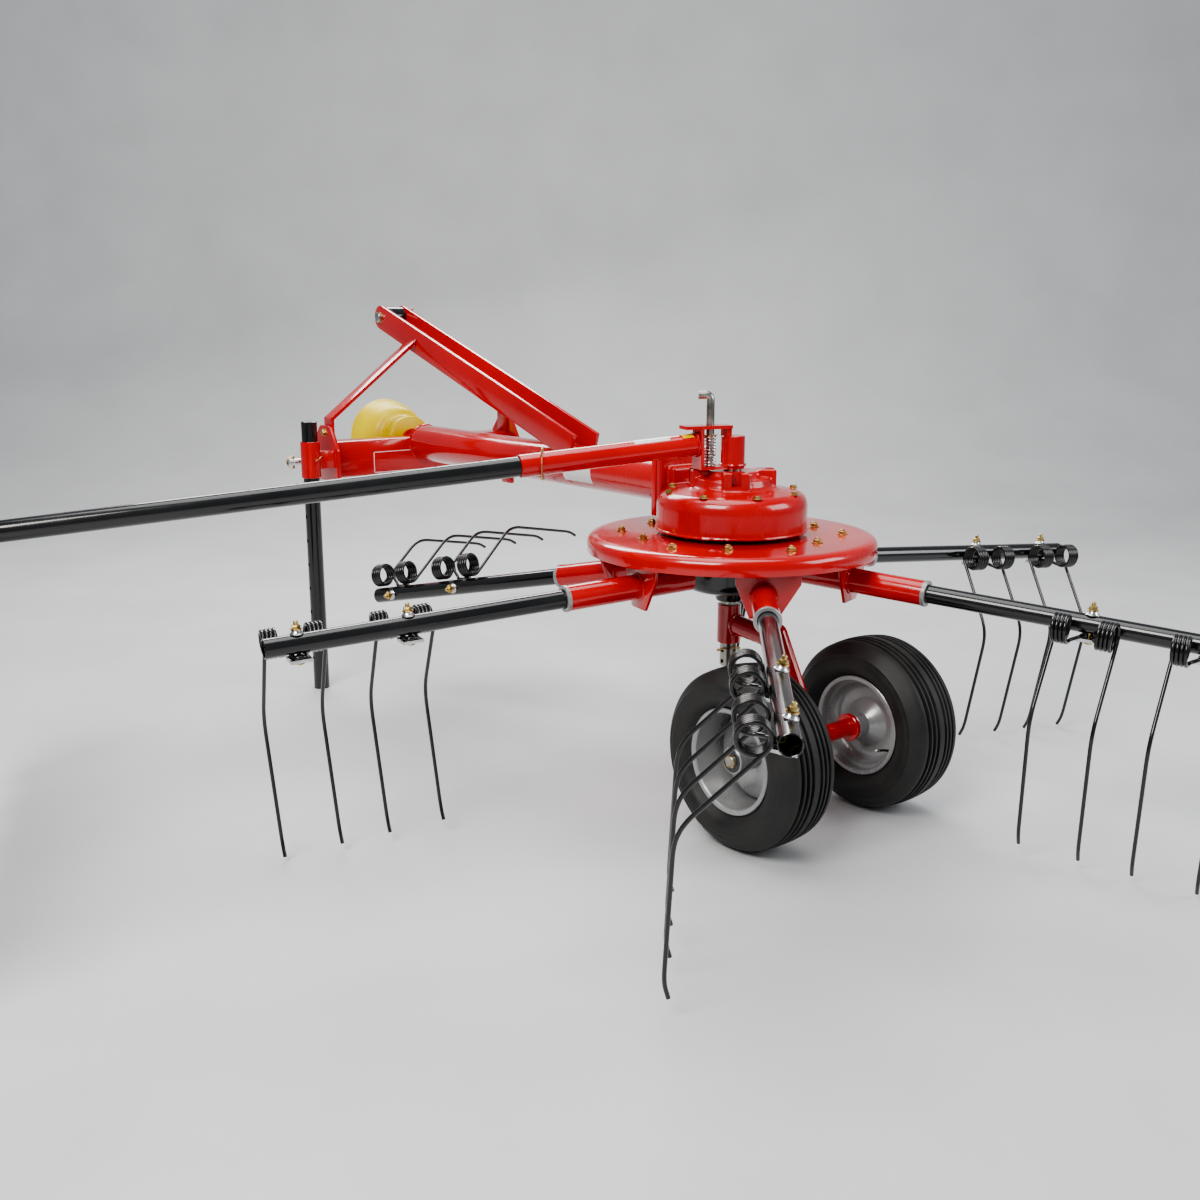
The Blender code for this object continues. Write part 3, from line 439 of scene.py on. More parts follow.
def setShapes(name, shapes, places, finish, body, nodes=()):  # one shape copied to every place
    source = newObject("source", meshFrom("source", joined(shapes)))
    mesh = bpy.data.meshes.new(name)
    placesHere = [machineShift @ place for place in places]
    mesh.from_pydata([place.translation for place in placesHere], [], [])
    turns = mesh.attributes.new("turn", "FLOAT_VECTOR", "POINT")
    for number, place in enumerate(placesHere):
        turns.data[number].vector = place.to_euler()[:]
    obj = newObject(name, mesh)
    scatter = obj.modifiers.new("setOnPoints", "NODES")
    scatter.node_group = setOnPoints
    scatter[shapeKeys["Shape"]], scatter[shapeKeys["Size"]] = source, 1.0
    scatter[shapeKeys["Finish"]] = paint[finish]
    bakeModifiers(obj)
    bpy.data.objects.remove(source)
    return finishPiece(obj, body, nodes)


def bentLine(points, bend, steps=6):  # straight stretches with rounded corners
    points = [Vector(point) for point in points]
    line = [points[0]]
    for before, corner, after in zip(points, points[1:], points[2:]):
        first = corner + (before - corner).normalized() * min(bend, (before - corner).length / 2.1)
        last = corner + (after - corner).normalized() * min(bend, (after - corner).length / 2.1)
        line += [(1 - t) ** 2 * first + 2 * t * (1 - t) * corner + t * t * last for t in (step / steps
            for step in range(steps + 1))]
    return line + [points[-1]]


def ringLine(centre, axis, radius, steps=32, turns=1.0, rise=0.0):
    place = along(centre, Vector(centre) + Vector(axis))
    count = max(2, int(steps * turns))
    return [place @ Vector((radius * math.cos(2 * math.pi * turns * i / count),
        radius * math.sin(2 * math.pi * turns * i / count), rise * i / count)) for i in range(count + 1)]


def weldBead(name, lines, body, radius=0.0034, finish="red"):  # a swept bead with a rippled surface
    bead = makeWires(name, lines, radius, finish, body, sides=8)
    for vertex in bead.data.vertices:
        ripple = noise.noise(vertex.co * 190) * 0.0011 + noise.noise(vertex.co * 60) * 0.0008
        vertex.co += vertex.normal * ripple
    return bead


def dense(points, spacing=0.003):
    points = [Vector(point) for point in points]
    line = [points[0]]
    for start, end in zip(points, points[1:]):
        count = max(1, round((end - start).length / spacing))
        line += [start.lerp(end, i / count) for i in range(1, count + 1)]
    return line


def snapPin(at, across, upward, reach, loop):  # a cross pin with a spring ring round the tube
    at, across, upward = Vector(at), Vector(across).normalized(), Vector(upward).normalized()
    side = across.cross(upward)
    ring = [at + across * (reach * math.cos(turn)) + (upward * 0.35
        + side).normalized() * (loop * math.sin(turn)) for turn in (math.pi * i / 24 for i in range(25))]
    return [[at - across * reach, at + across * reach]], [ring]


def sidePlane(x):
    return placed((x, 0, 0), (0, 1, 0), (0, 0, 1))


def hexBolt(at, axis, across, high=0.007, washer=0.0016):  # a head on its washer
    at, axis = Vector(at), Vector(axis).normalized()
    return [hexShape(at + axis * washer, at + axis * (washer + high), across),
        rodShape(at, at + axis * washer, across * 1.35, 28, 0.0003)]


# the headstock: cross beam, side lugs, link pins and braces
beam = {"half": 0.329, "rear": 1.450, "front": 1.530, "low": 0.657, "high": 0.771, "corner": 0.007}
lug = {"thick": 0.012, "gap": 0.0003, "linkY": 1.560, "linkZ": 0.704, "pin": 0.011, "reach": 0.090}
boomHeight = 0.750

braces = {"foot": 0.821, "mastFace": 0.0463, "share": 0.78}
mastFoot, topPin = Vector((0.700, 0.8073)), Vector((1.640, 1.150))

beamOutline = [(beam["rear"], beam["low"]), (beam["front"], beam["low"]), (beam["front"], beam["high"]),
    (beam["rear"], beam["high"])]
makePiece("crossBeam", [prism(beamOutline, 2 * beam["half"], sidePlane(0))], "red", "frame", ["cross_beam"],
    bevel=beam["corner"])
makePiece("inputBearing", [turnedShape([(0.0185, 0), (0.040, 0), (0.040, 0.008), (0.038, 0.010),
    (0.0185, 0.010)], 64, along((0, beam["front"] - 0.0005, boomHeight), (0, 2, boomHeight)))], "red",
    "frame")

lugOutline = [(1.400, 0.653), (1.564, 0.645), (1.592, 0.688), (1.592, 0.726), (1.512, 0.821),
    (1.446, 0.821), (1.400, 0.751)]
lugBends = [point.to_2d() for point in bentLine([Vector((*p, 0)) for p in [(1.40, 0.70)] + lugOutline[::-1]
    + [(1.40, 0.70)]], 0.010, 4)][:-1]
beads, gold, pins = [], [], []
for side, name in ((-1, "left"), (1, "right")):
    inner = side * (beam["half"] + lug["gap"])
    outer = inner + side * lug["thick"]
    centre = (lug["linkY"], lug["linkZ"])
    makePiece(f"{name}Lug", [prism(lugBends, lug["thick"], sidePlane((inner + outer) / 2))], "red", "frame",
        [f"{name}_lug"], bevel=0.0014)
    pinShapes = [rodShape((inner - side * 0.022, *centre), (outer + side * lug["reach"], *centre),
        lug["pin"], 48, 0.003), hexShape((inner - side * 0.024, *centre), (inner - side * 0.0008, *centre),
        0.018), rodShape((outer + side * 0.0004, *centre), (outer + side * 0.004, *centre), 0.0175, 40)]
    makePiece(f"{name}LinkPin", pinShapes, "zinc", "frame", [f"{name}_link_pin"])
    pins.append(snapPin((outer + side * 0.072, *centre), (0, 0, 1), (0, 1, 0), 0.019, 0.021))
    for y in (beam["rear"] - 0.001, beam["front"] + 0.001):
        beads.append(dense([(inner - side * 0.001, y, beam["low"] + 0.006), (inner - side * 0.001, y,
            beam["high"] - 0.006)]))
    beads.append(dense([(inner - side * 0.001, beam["rear"] + 0.006, beam["high"] + 0.001),
        (inner - side * 0.001, beam["front"] - 0.006, beam["high"] + 0.001)]))
    face = side * (beam["half"] - lug["gap"])
    meetY, meetZ = mastFoot.lerp(topPin, braces["share"])
    uprightTop = Vector((face - side * 0.005, 1.480, braces["foot"] + 0.020))
    mastFace = side * braces["mastFace"]
    run = Vector((mastFace, meetY, meetZ)) - uprightTop
    bar = [(-0.004, -0.025), (run.length + 0.03, -0.025), (run.length + 0.03, 0.025), (-0.004, 0.025)]
    upright = blockShape((min(face, face - side * 0.010), 1.455, 0.7713), (max(face, face - side * 0.010),
        1.505, braces["foot"] + 0.024))
    beyond = blockShape((min(mastFace, mastFace - side * 0.2), meetY - 0.3, meetZ - 0.3),
        (max(mastFace, mastFace - side * 0.2), meetY + 0.3, meetZ + 0.3))
    makePiece(f"{name}Brace", [upright, prism(bar, 0.010, placed(uprightTop, run, (0, 1, 0)))], "red",
        "frame", [f"{name}_brace"], bevel=0.0012, cuts=[beyond])
    gold += hexBolt((outer, 1.480, 0.800), (side, 0, 0), 0.0105)
    beads.append(dense([(mastFace, meetY - 0.024, meetZ - 0.012), (mastFace, meetY + 0.024, meetZ - 0.004)]))
print("headstock made")

# the mast's bars, with the top link's pin and bush
mast = {"middle": 0.040, "thick": 0.012, "width": 0.075, "share": 0.12, "pin": 0.0095, "bush": 0.034}
mastStart = mastFoot + Vector((0, mast["width"] / 2)) - (topPin - mastFoot).normalized() * mast["share"]
for side, name in ((-1, "left"), (1, "right")):
    seat = rodShape((0, 0, boomHeight), (0, beam["rear"], boomHeight), 0.0573, 96, 0.0005)
    under = blockShape((-0.2, 0.2, 0.45), (0.2, 1.2, 0.780))
    outline = roundedBar(mastStart, topPin, mast["width"], roundStart=False, steps=28)
    makePiece(f"{name}MastBar", [prism(outline, mast["thick"], sidePlane(side * mast["middle"]))], "red",
        "frame", [f"{name}_mast_bar"], bevel=0.0014, cuts=[seat, under])
    beads.append(dense([(side * 0.0475, y, 0.7805) for y in (0.66, 0.72, 0.79)]))
reach = mast["middle"] + mast["thick"] / 2
makePiece("topLinkPin", [rodShape((-reach - 0.004, *topPin), (reach + 0.040, *topPin), mast["pin"], 48,
    0.002), rodShape((-reach - 0.012, *topPin), (-reach - 0.0022, *topPin), 0.0155, 48, 0.0016)], "zinc",
    "frame", ["top_link_pin"])
makePiece("topLinkWashers", [rodShape((side * (reach + 0.0003), *topPin), (side * (reach + 0.0022),
    *topPin), 0.019, 48, 0.0003) for side in (-1, 1)], "gold", "frame")
makePiece("topLinkBush", [tubeShape((-0.0337, *topPin), (0.0337, *topPin), mast["bush"],
    mast["bush"] - 0.0098, 64, 0.003)], "black", "frame", ["top_link_bush"])
clip = [Vector((reach + 0.030, topPin.x, topPin.y + 0.030)) + Vector(offset) for offset in ((0, 0, 0),
    (0, 0, -0.050), (0.002, 0.004, -0.060), (0.003, 0.014, -0.056), (0.003, 0.013, -0.046), (0.003, 0.0100,
    -0.036), (0.003, 0.0125, -0.022), (0.003, 0.0120, -0.010), (0.003, 0.008, 0.000))]
makeWires("topPinClip", [smoothCurve(clip, 8)], 0.0018, "gold", "frame")
print("mast made")

# the boom, its flange, bolts and blank labels
boom = {"radius": 0.057, "wall": 0.005, "flangeBack": 0.187, "flangeFront": 0.205, "half": 0.080}
flange = [(-boom["half"], -boom["half"]), (boom["half"], -boom["half"]), (boom["half"], boom["half"]),
    (-boom["half"], boom["half"])]
flangePlace = placed((0, (boom["flangeBack"] + boom["flangeFront"]) / 2, boomHeight), (1, 0, 0), (0, 0, 1))
gusset = [(0.201, 0.803), (0.280, 0.803), (0.201, 0.827)]
makePiece("boom", [tubeShape((0, boom["flangeFront"] - 0.002, boomHeight), (0, beam["rear"] - 0.0003,
    boomHeight), boom["radius"], boom["wall"], 96)], "red", "frame", ["boom"])
makePiece("boomFlange", [prism(flange, 0.018, flangePlace), prism(gusset, 0.010, sidePlane(0))], "red",
    "frame", bevel=0.0022)
for x in (-0.062, 0.062):
    for z in (-0.062, 0.062):
        gold += hexBolt((x, boom["flangeFront"], boomHeight + z), (0, 1, 0), 0.0105, 0.008)
beads.append(ringLine((0, boom["flangeFront"] + 0.001, boomHeight), (0, 1, 0), boom["radius"] + 0.001, 130))
beads.append(ringLine((0, beam["rear"] - 0.001, boomHeight), (0, 1, 0), boom["radius"] + 0.0005, 130))
makePiece("boomLug", [blockShape((-0.006, 0.94, 0.668), (0.006, 0.99, 0.697))], "red", "frame", bevel=0.002)


def patchShape(place, radius, low, high, start, end, thick=0.0005, steps=20):  # a sticker bent round a tube
    bm = bmesh.new()
    rings = []
    for out in (radius, radius + thick):
        for height in (low, high):
            rings.append([bm.verts.new(place @ Vector((out * math.cos(turn), out * math.sin(turn), height)))
                for turn in (start + (end - start) * i / steps for i in range(steps + 1))])
    inLow, inHigh, outLow, outHigh = rings
    for i in range(steps):
        bm.faces.new((outLow[i], outLow[i + 1], outHigh[i + 1], outHigh[i]))
        bm.faces.new((inHigh[i], inHigh[i + 1], inLow[i + 1], inLow[i]))
        bm.faces.new((inLow[i], inLow[i + 1], outLow[i + 1], outLow[i]))
        bm.faces.new((outHigh[i], outHigh[i + 1], inHigh[i + 1], inHigh[i]))
    for i in (0, steps):
        bm.faces.new((inLow[i], outLow[i], outHigh[i], inHigh[i]))
    return bm


boomPlace = Matrix.Translation((0, 0, boomHeight)) @ Matrix(((-1, 0, 0), (0, 0, 1), (0, 1, 0))).to_4x4()
makePiece("boomLabel", [patchShape(boomPlace, boom["radius"], 0.485, 0.610, -0.62, 0.30)], "label", "frame")
# the pale frame on the beam
trim = {"left": -0.189, "right": 0.123, "low": 0.664, "high": 0.731, "line": 0.0022}
for name, low, high in (("Low", (trim["left"], trim["low"]), (trim["right"], trim["low"] + trim["line"])),
        ("High", (trim["left"], trim["high"] - trim["line"]), (trim["right"], trim["high"])),
        ("Left", (trim["left"], trim["low"]), (trim["left"] + trim["line"], trim["high"])),
        ("Right", (trim["right"] - trim["line"], trim["low"]), (trim["right"], trim["high"]))):
    makePiece(f"beamFrame{name}", [blockShape((low[0], beam["rear"] - 0.0005, low[1]),
        (high[0], beam["rear"] + 0.0001, high[1]))], "label", "frame")
print("boom made")

# the guard and the splined input shaft
guard = {"start": 1.5403, "wall": 0.004, "length": 0.185}
outside = [(0.068, 0.0), (0.076, 0.003), (0.080, 0.012), (0.080, 0.056), (0.084, 0.066), (0.096, 0.076),
    (0.106, 0.092), (0.114, 0.118), (0.1225, 0.150), (0.1245, 0.166), (0.1265, 0.178), (0.128, 0.185)]
curve = [point.to_2d() for point in smoothCurve([Vector((*p, 0)) for p in outside], 4)]
inside = [(radius - guard["wall"], min(height + 0.002, guard["length"]))
    for radius, height in reversed(curve)]
inside = [p for p in inside if p[1] > 0.006] + [(0.0255, guard["wall"]), (0.0255, 0.0)]
makePiece("shaftGuard", [turnedShape([tuple(p) for p in curve] + inside, 96,
    along((0, guard["start"], boomHeight), (0, 2, boomHeight)))], "plastic", "frame", ["guard_back",
    "guard_collar", "guard_bell"])
ribs = []
for height in (0.022, 0.032, 0.042):
    ribs.append(ringLine((0, guard["start"] + height, boomHeight), (0, 1, 0), 0.0802, 96))
ribs.append(ringLine((0, guard["start"] + guard["length"] - 0.0035, boomHeight), (0, 1, 0), 0.1262, 96))
makeWires("guardRibs", ribs, 0.0015, "plastic", "frame", sides=8)

shaft = {"start": 1.4563, "end": 1.680, "tip": 0.0175, "root": 0.0146, "teeth": 6, "groove": (1.640, 1.654)}


def splineOutline():
    outline = []
    for tooth in range(shaft["teeth"]):
        middle = 2 * math.pi * tooth / shaft["teeth"]
        for turn, radius in ((-0.30, shaft["root"]), (-0.25, shaft["tip"]), (-0.12, shaft["tip"]),
                (0.0, shaft["tip"]), (0.12, shaft["tip"]), (0.25, shaft["tip"]), (0.30, shaft["root"]),
                (0.5236, shaft["root"])):
            outline.append((radius * math.cos(middle + turn), radius * math.sin(middle + turn)))
    return outline


def splined(start, end):
    return prism(splineOutline(), end - start, placed((0, (start + end) / 2, boomHeight), (1, 0, 0),
        (0, 0, 1)))


makePiece("inputShaft", [splined(1.535, shaft["groove"][0]), splined(shaft["groove"][1],
    shaft["end"] - 0.001), rodShape((0, shaft["start"], boomHeight), (0, shaft["end"], boomHeight), 0.0142,
    48, 0.002), rodShape((0, shaft["start"], boomHeight), (0, 1.537, boomHeight), shaft["tip"], 48)],
    "steel", "input_shaft", ["input_shaft"], bevel=0.0005)
print("guard and shaft made")

# the parking leg, its socket and its cap
leg = {"x": -0.420, "y": 1.420, "radius": 0.024, "wall": 0.004, "length": 0.840, "low": 0.670,
    "high": 0.780, "holes": 8, "spacing": 0.075}
socketRadius = leg["radius"] + 0.0008 + 0.0045
makePiece("legSocket", [tubeShape((leg["x"], leg["y"], leg["low"]), (leg["x"], leg["y"], leg["high"]),
    socketRadius, 0.0045, 72)], "red", "frame", ["leg_socket"])
makePiece("legBracket", [blockShape((leg["x"] + 0.027, leg["y"] - 0.012, leg["low"] + 0.025),
    (-0.3419, leg["y"] + 0.012, leg["high"] - 0.030))], "red", "frame", bevel=0.0015)
beads.append(dense([(leg["x"] + 0.0275, leg["y"] - 0.012, 0.697), (leg["x"] + 0.0275, leg["y"] - 0.012,
    0.748)]))
beads.append(dense([(-0.3425, leg["y"] - 0.0125, 0.697), (-0.3425, leg["y"] - 0.0125, 0.748)]))
holes = [rodShape((leg["x"] - 0.05, leg["y"], 0.10 + leg["spacing"] * i), (leg["x"] + 0.05, leg["y"],
    0.10 + leg["spacing"] * i), 0.0055, 20, 0.0002) for i in range(leg["holes"])]
makePiece("parkingLeg", [tubeShape((leg["x"], leg["y"], 0), (leg["x"], leg["y"], leg["length"] - 0.002),
    leg["radius"], leg["wall"], 72)], "black", "parking_leg", ["parking_leg"], cuts=holes)
capProfile = [(0, 0.8345), (0.0195, 0.8345), (0.0240, 0.8370), (0.0238, 0.8395), (0.0215, 0.8412),
    (0.016, 0.8424), (0, 0.8430)]
makePiece("legCap", [turnedShape(capProfile, 64, Matrix.Translation((leg["x"], leg["y"], 0)))], "black",
    "parking_leg")
pins.append(snapPin((leg["x"], leg["y"], 0.725), (0, 1, 0), (0, 0, 1), 0.036, 0.036))
print("leg made")

# the gearbox casting and the post through it
case = {"radius": 0.180, "low": 0.655, "bossHigh": 0.796, "bore": 0.0213, "voxel": 0.003}
caseProfile = [(case["radius"], case["low"]), (case["radius"], 0.716), (0.178, 0.727), (0.174, 0.736),
    (0.167, 0.743), (0.158, 0.7475), (0.140, 0.750), (0.114, 0.754), (0.104, 0.758), (0.098, 0.764),
    (0.094, 0.780), (0.068, 0.784), (0.062, case["bossHigh"]), (case["bore"], case["bossHigh"]),
    (case["bore"], 0.730), (0.050, 0.730), (0.056, 0.738), (0.136, 0.738), (0.168, 0.714),
    (0.168, case["low"])]
castShapes = [turnedShape(caseProfile, 112), blockShape((-0.058, 0.146, 0.669), (0.058, 0.1867, 0.790)),
    blockShape((-0.080, 0.1667, 0.670), (0.080, 0.1867, 0.830))]
notches = []
for heading in (128, 308, 218):
    place = placed((0, 0, 0), headingVector(heading), headingVector(heading - 90))
    castShapes.append(blockShape((0.058, -0.030, 0.744), (0.102, 0.030, 0.800), place))
    notches.append(blockShape((0.078, -0.011, 0.768), (0.128, 0.011, 0.826), place))
casting = makePiece("gearboxCasting", castShapes, "cast", "frame", ["gearbox_casting"])


def softenCasting(obj, voxel, rounds):  # one blended skin over the joined bodies, as in a casting
    remesh = obj.modifiers.new("oneSkin", "REMESH")
    remesh.mode, remesh.voxel_size = "VOXEL", voxel
    smooth = obj.modifiers.new("blend", "SMOOTH")
    smooth.factor, smooth.iterations = 0.5, rounds
    bakeModifiers(obj)
    obj.data.materials.clear()
    obj.data.materials.append(paint["cast"])
    obj.data.shade_smooth()


softenCasting(casting, case["voxel"], 5)
cutAway(casting, notches)
casting.data.set_sharp_from_angle(angle=math.radians(50))
for turn in range(8):
    heading = 22.5 + 45 * turn
    spot = headingVector(heading) * 0.158
    gold += hexBolt((spot.x, spot.y, 0.7473), (0, 0, 1), 0.0085, 0.006)
beads.append(ringLine((0, 0, case["low"] + 0.0035), (0, 0, 1), case["radius"] + 0.0003, 260))
makePiece("breather", [rodShape((0.118, 0.060, 0.748), (0.118, 0.060, 0.766), 0.009, 32, 0.002),
    hexShape((0.118, 0.060, 0.748), (0.118, 0.060, 0.757), 0.012)], "gold", "frame")

post = {"radius": 0.021, "low": 0.315, "high": 0.868}
postHoles = [rodShape((-0.05, 0.0, z), (0.05, 0.0, z), 0.0050, 20, 0.0002) for z in (0.328, 0.355)]
makePiece("centralPost", [rodShape((0, 0, post["low"]), (0, 0, post["high"]), post["radius"], 72, 0.003)],
    "steel", "frame", ["central_post"], cuts=postHoles)
pins.append(snapPin((0, 0, 0.355), (1, -0.35, 0), (0, 0, 1), 0.030, 0.030))
weldBead("frameWelds", beads, "frame")
makePiece("frameBolts", gold, "gold", "frame")
makeWires("framePins", [line for straight, ring in pins for line in straight], 0.0032, "gold", "frame",
    sides=14)
makeWires("framePinRings", [line for straight, ring in pins for line in ring], 0.0014, "gold", "frame",
    sides=8)
print("gearbox made")

# the rotor: disc, hub and six arms
disc = {"radius": 0.347, "top": 0.645, "low": 0.605, "boltOut": 0.232, "boltSides": (-0.078, 0.062)}
discProfile = [(0.050, 0.641), (0.050, disc["top"]), (0.318, disc["top"]), (0.328, 0.6446),
    (0.3355, 0.6425), (0.341, 0.639), (0.345, 0.634), (disc["radius"], 0.627), (disc["radius"], 0.6075),
    (0.3462, disc["low"]), (0.3438, disc["low"]), (0.343, 0.6075), (0.343, 0.627), (0.341, 0.632),
    (0.3375, 0.636), (0.333, 0.639), (0.3265, 0.641)]
makePiece("rotorDisc", [turnedShape(discProfile, 160)], "red", "rotor", ["rotor_disc"])
hubProfile = [(0.0218, 0.480), (0.032, 0.480), (0.034, 0.483), (0.036, 0.498), (0.042, 0.504),
    (0.092, 0.508), (0.106, 0.514), (0.113, 0.524), (0.115, 0.536), (0.115, 0.6407), (0.101, 0.6407),
    (0.101, 0.532), (0.039, 0.520), (0.039, 0.6407), (0.0218, 0.6407)]
makePiece("rotorHub", [turnedShape(hubProfile, 96)], "black", "rotor", ["rotor_hub"])

arms = {"count": 6, "first": 222.0, "offset": 0.065, "height": 0.540, "droop": 3.4, "low": 3,
    "lowDroop": 11.5, "lowDrop": 0.046, "radius": 0.021, "wall": 0.003, "stub": 0.029, "stubStart": 0.150,
    "stubEnd": 0.470, "start": 0.200, "end": 1.135, "holder": 0.282, "holderTop": 0.6407, "turns": {1: 12.0,
    3: 88.0}, "places": (0.830, 1.065)}


def armFrame(number):
    heading = arms["first"] + 60 * (number - 1)
    droop = math.radians(arms["lowDroop"] if number == arms["low"] else arms["droop"])
    height = arms["height"] - (arms["lowDrop"]
        if number == arms["low"] else 0) + arms["stubEnd"] * math.tan(droop)
    counter = headingVector(heading - 90)
    outward = headingVector(heading) * math.cos(droop) - Vector((0, 0, math.sin(droop)))
    return placed(counter * arms["offset"] + Vector((0, 0, height)), outward, counter), droop


rotorBeads, discBolts, clampPlaces = [], [], []
for number in range(1, arms["count"] + 1):
    place, droop = armFrame(number)
    origin = place.translation.copy()
    outward, counter = place.to_3x3().col[0].copy(), place.to_3x3().col[1].copy()
    level = Vector((outward.x, outward.y, 0)).normalized()
    tubeAt = lambda distance: origin + outward * distance
    top = arms["holderTop"]
    centre = tubeAt(arms["holder"] / math.cos(droop))
    upright = placed(Vector((centre.x, centre.y, 0)), -counter, (0, 0, 1))
    shoulder, foot = top - 0.062, min(0.500, centre.z - 0.040)
    outline = [(-0.083, shoulder), (-0.034, foot), (0.030, foot), (0.062, shoulder), (0.062, top),
        (-0.083, top)]
    tab = placed(Vector((centre.x, centre.y, top - 0.003)), -counter, level)
    makePiece(f"armHolder{number}", [prism(outline, 0.008, upright), blockShape((-0.083, -0.050, -0.003),
        (0.062, 0.002, 0.003), tab)], "red", "rotor", bevel=0.0014)
    makePiece(f"armStub{number}", [tubeShape(tubeAt(arms["stubStart"]), tubeAt(arms["stubEnd"]),
        arms["stub"], arms["stub"] - arms["radius"] - 0.0003, 64)], "red", "rotor",
        [f"arm_holder_{number}"])
    makePiece(f"stubRing{number}", [tubeShape(tubeAt(arms["stubEnd"] - 0.007),
        tubeAt(arms["stubEnd"] + 0.003), arms["stub"] + 0.0012, 0.0088, 64)], "rim", "rotor")
    makePiece(f"armTube{number}", [tubeShape(tubeAt(arms["start"]), tubeAt(arms["end"]), arms["radius"],
        arms["wall"], 56)], "black", "rotor", [f"arm_tube_{number}"])
    for away in (-0.0045, 0.0045):
        rotorBeads.append(ringLine(tubeAt(arms["holder"] / math.cos(droop)) + level * away, level,
            arms["stub"] + 0.0008, 70))
    for side in disc["boltSides"]:
        spot = level * disc["boltOut"] + counter * (arms["offset"] + side) + Vector((0, 0, disc["top"]))
        discBolts.append(along(spot, spot + Vector((0, 0, 1))))
    turned = place @ Matrix.Rotation(-math.radians(arms["turns"].get(number, 0.0)), 4, "X")
    clampPlaces += [turned @ Matrix.Translation((distance, 0, 0)) for distance in arms["places"]]
weldBead("rotorWelds", rotorBeads, "rotor")

upZ = Vector((0, 0, 1))
setShapes("discBolts", hexBolt((0, 0, 0.0002), upZ, 0.0098, 0.0072) + [rodShape((0, 0, 0.005),
    (0, 0, 0.0125), 0.0055, 20)], discBolts, "gold", "rotor")
saddle = [(-0.0225, -0.0365), (0.0225, -0.0365), (0.0235, -0.0345), (0.0235, -0.0290), (0.0195, -0.0290),
    (0.0185, -0.0305), (-0.0185, -0.0305), (-0.0195, -0.0290), (-0.0235, -0.0290), (-0.0235, -0.0345)]
setShapes("clampSaddles", [prism(saddle, 0.046, placed((0, 0, 0), (0, 1, 0), (0, 0, 1))),
    turnedShape([(0.0056, 0.0205), (0.0145, 0.0205), (0.0145, 0.0220), (0.0110, 0.0250), (0.0085, 0.0320),
    (0.0056, 0.0320)], 40)], clampPlaces, "zinc", "rotor")
setShapes("clampBolts", [rodShape((0, 0, -0.045), (0, 0, 0.048), 0.0048, 24, 0.001),
    hexShape((0, 0, -0.0435), (0, 0, -0.0366), 0.0098), hexShape((0, 0, 0.0322), (0, 0, 0.0395), 0.0096),
    rodShape((0, 0, 0.0302), (0, 0, 0.0322), 0.0118, 32, 0.0003)], clampPlaces, "gold", "rotor")
print("rotor and arms made")

# the double tines, each one wire through its clamp
tine = {"wire": 0.0042, "coil": 0.0325, "length": 0.042, "spacing": 0.094, "out": 0.057, "down": 0.006,
    "perTurn": 40, "legs": ((0.180, 33.0), (0.040, 12.0), (0.256, -9.0), (0.030, -28.0))}


def tineHalf(side):  # from the leg's tip, up into the coil, round it and in to the clamp
    middle, setIn = tine["coil"] - tine["wire"], tine["wire"] + 0.0007
    centreY, centreZ = -tine["out"], -tine["down"]
    bridgeZ = -(arms["radius"] + 0.0003 + tine["wire"])
    outer = side * ((tine["spacing"] + tine["length"]) / 2 - setIn)
    inner = side * ((tine["spacing"] - tine["length"]) / 2 + setIn)
    begin = -math.radians(tine["legs"][0][1])
    at = Vector((outer, centreY + middle * math.cos(begin), centreZ + middle * math.sin(begin)))
    corners = [at.copy()]
    for length, degrees in tine["legs"]:
        angle = math.radians(degrees)
        at = at + length * Vector((0, -math.sin(angle), -math.cos(angle)))
        corners.append(at.copy())
    line = bentLine(corners[::-1], 0.026, 8)[:-1]
    sweep = math.radians(1350) - begin
    count = int(tine["perTurn"] * sweep / (2 * math.pi))
    for step in range(count + 1):
        turn = begin + sweep * step / count
        line.append(Vector((outer + (inner - outer) * step / count, centreY + middle * math.cos(turn),
            centreZ + middle * math.sin(turn))))
    bridge = [line[-1], (inner - side * 0.003, centreY + 0.015, bridgeZ - 0.0055), (side * 0.0150,
        centreY + 0.030, bridgeZ), (side * 0.0122, -0.006, bridgeZ), (side * 0.0112, 0.008, bridgeZ),
        (side * 0.0070, 0.0150, bridgeZ), (0, 0.0168, bridgeZ)]
    return line[:-1] + smoothCurve(bridge, 6)


whole = tineHalf(-1)[:-1] + tineHalf(1)[::-1]
for number in range(arms["count"]):
    for half in (0, 1):
        place = clampPlaces[2 * number + half]
        makeWires(f"tine{number + 1}{'ab'[half]}", [[place @ point for point in whole]], tine["wire"],
            "wire", "rotor", [f"tine_{number + 1}{'ab'[half]}"], sides=14)
print("tines made")

# the wheels and the frame that carries them
wheel = {"back": 0.289, "radius": 0.205, "out": 0.207, "half": 0.0825, "spindle": 0.0125}
treadHalf = [(0.1138, 0.0555), (0.1200, 0.0580), (0.1255, 0.0650), (0.1290, 0.0705), (0.1345, 0.0765),
    (0.1420, 0.0805), (0.1535, 0.0825), (0.1560, 0.0818), (0.1585, 0.0825), (0.1650, 0.0812),
    (0.1710, 0.0785), (0.1740, 0.0790), (0.1790, 0.0745), (0.1860, 0.0690), (0.1925, 0.0640),
    (0.1970, 0.0590), (0.2000, 0.0540), (0.2012, 0.0500)]
for edgeOut, edgeIn in ((0.0500, 0.0430), (0.0360, 0.0290), (0.0220, 0.0150), (0.0080, 0.0010)):
    crown = 0.2050 - 0.0038 * (edgeOut / 0.05) ** 2
    low = crown - 0.0065
    treadHalf += [(crown, edgeOut), (crown, edgeOut - 0.0050), (low, edgeOut - 0.0062)]
    treadHalf += [(low, edgeIn - 0.0058)] if edgeIn > 0.01 else []
treadHalf = [p for p in treadHalf if p[1] > 0.002]
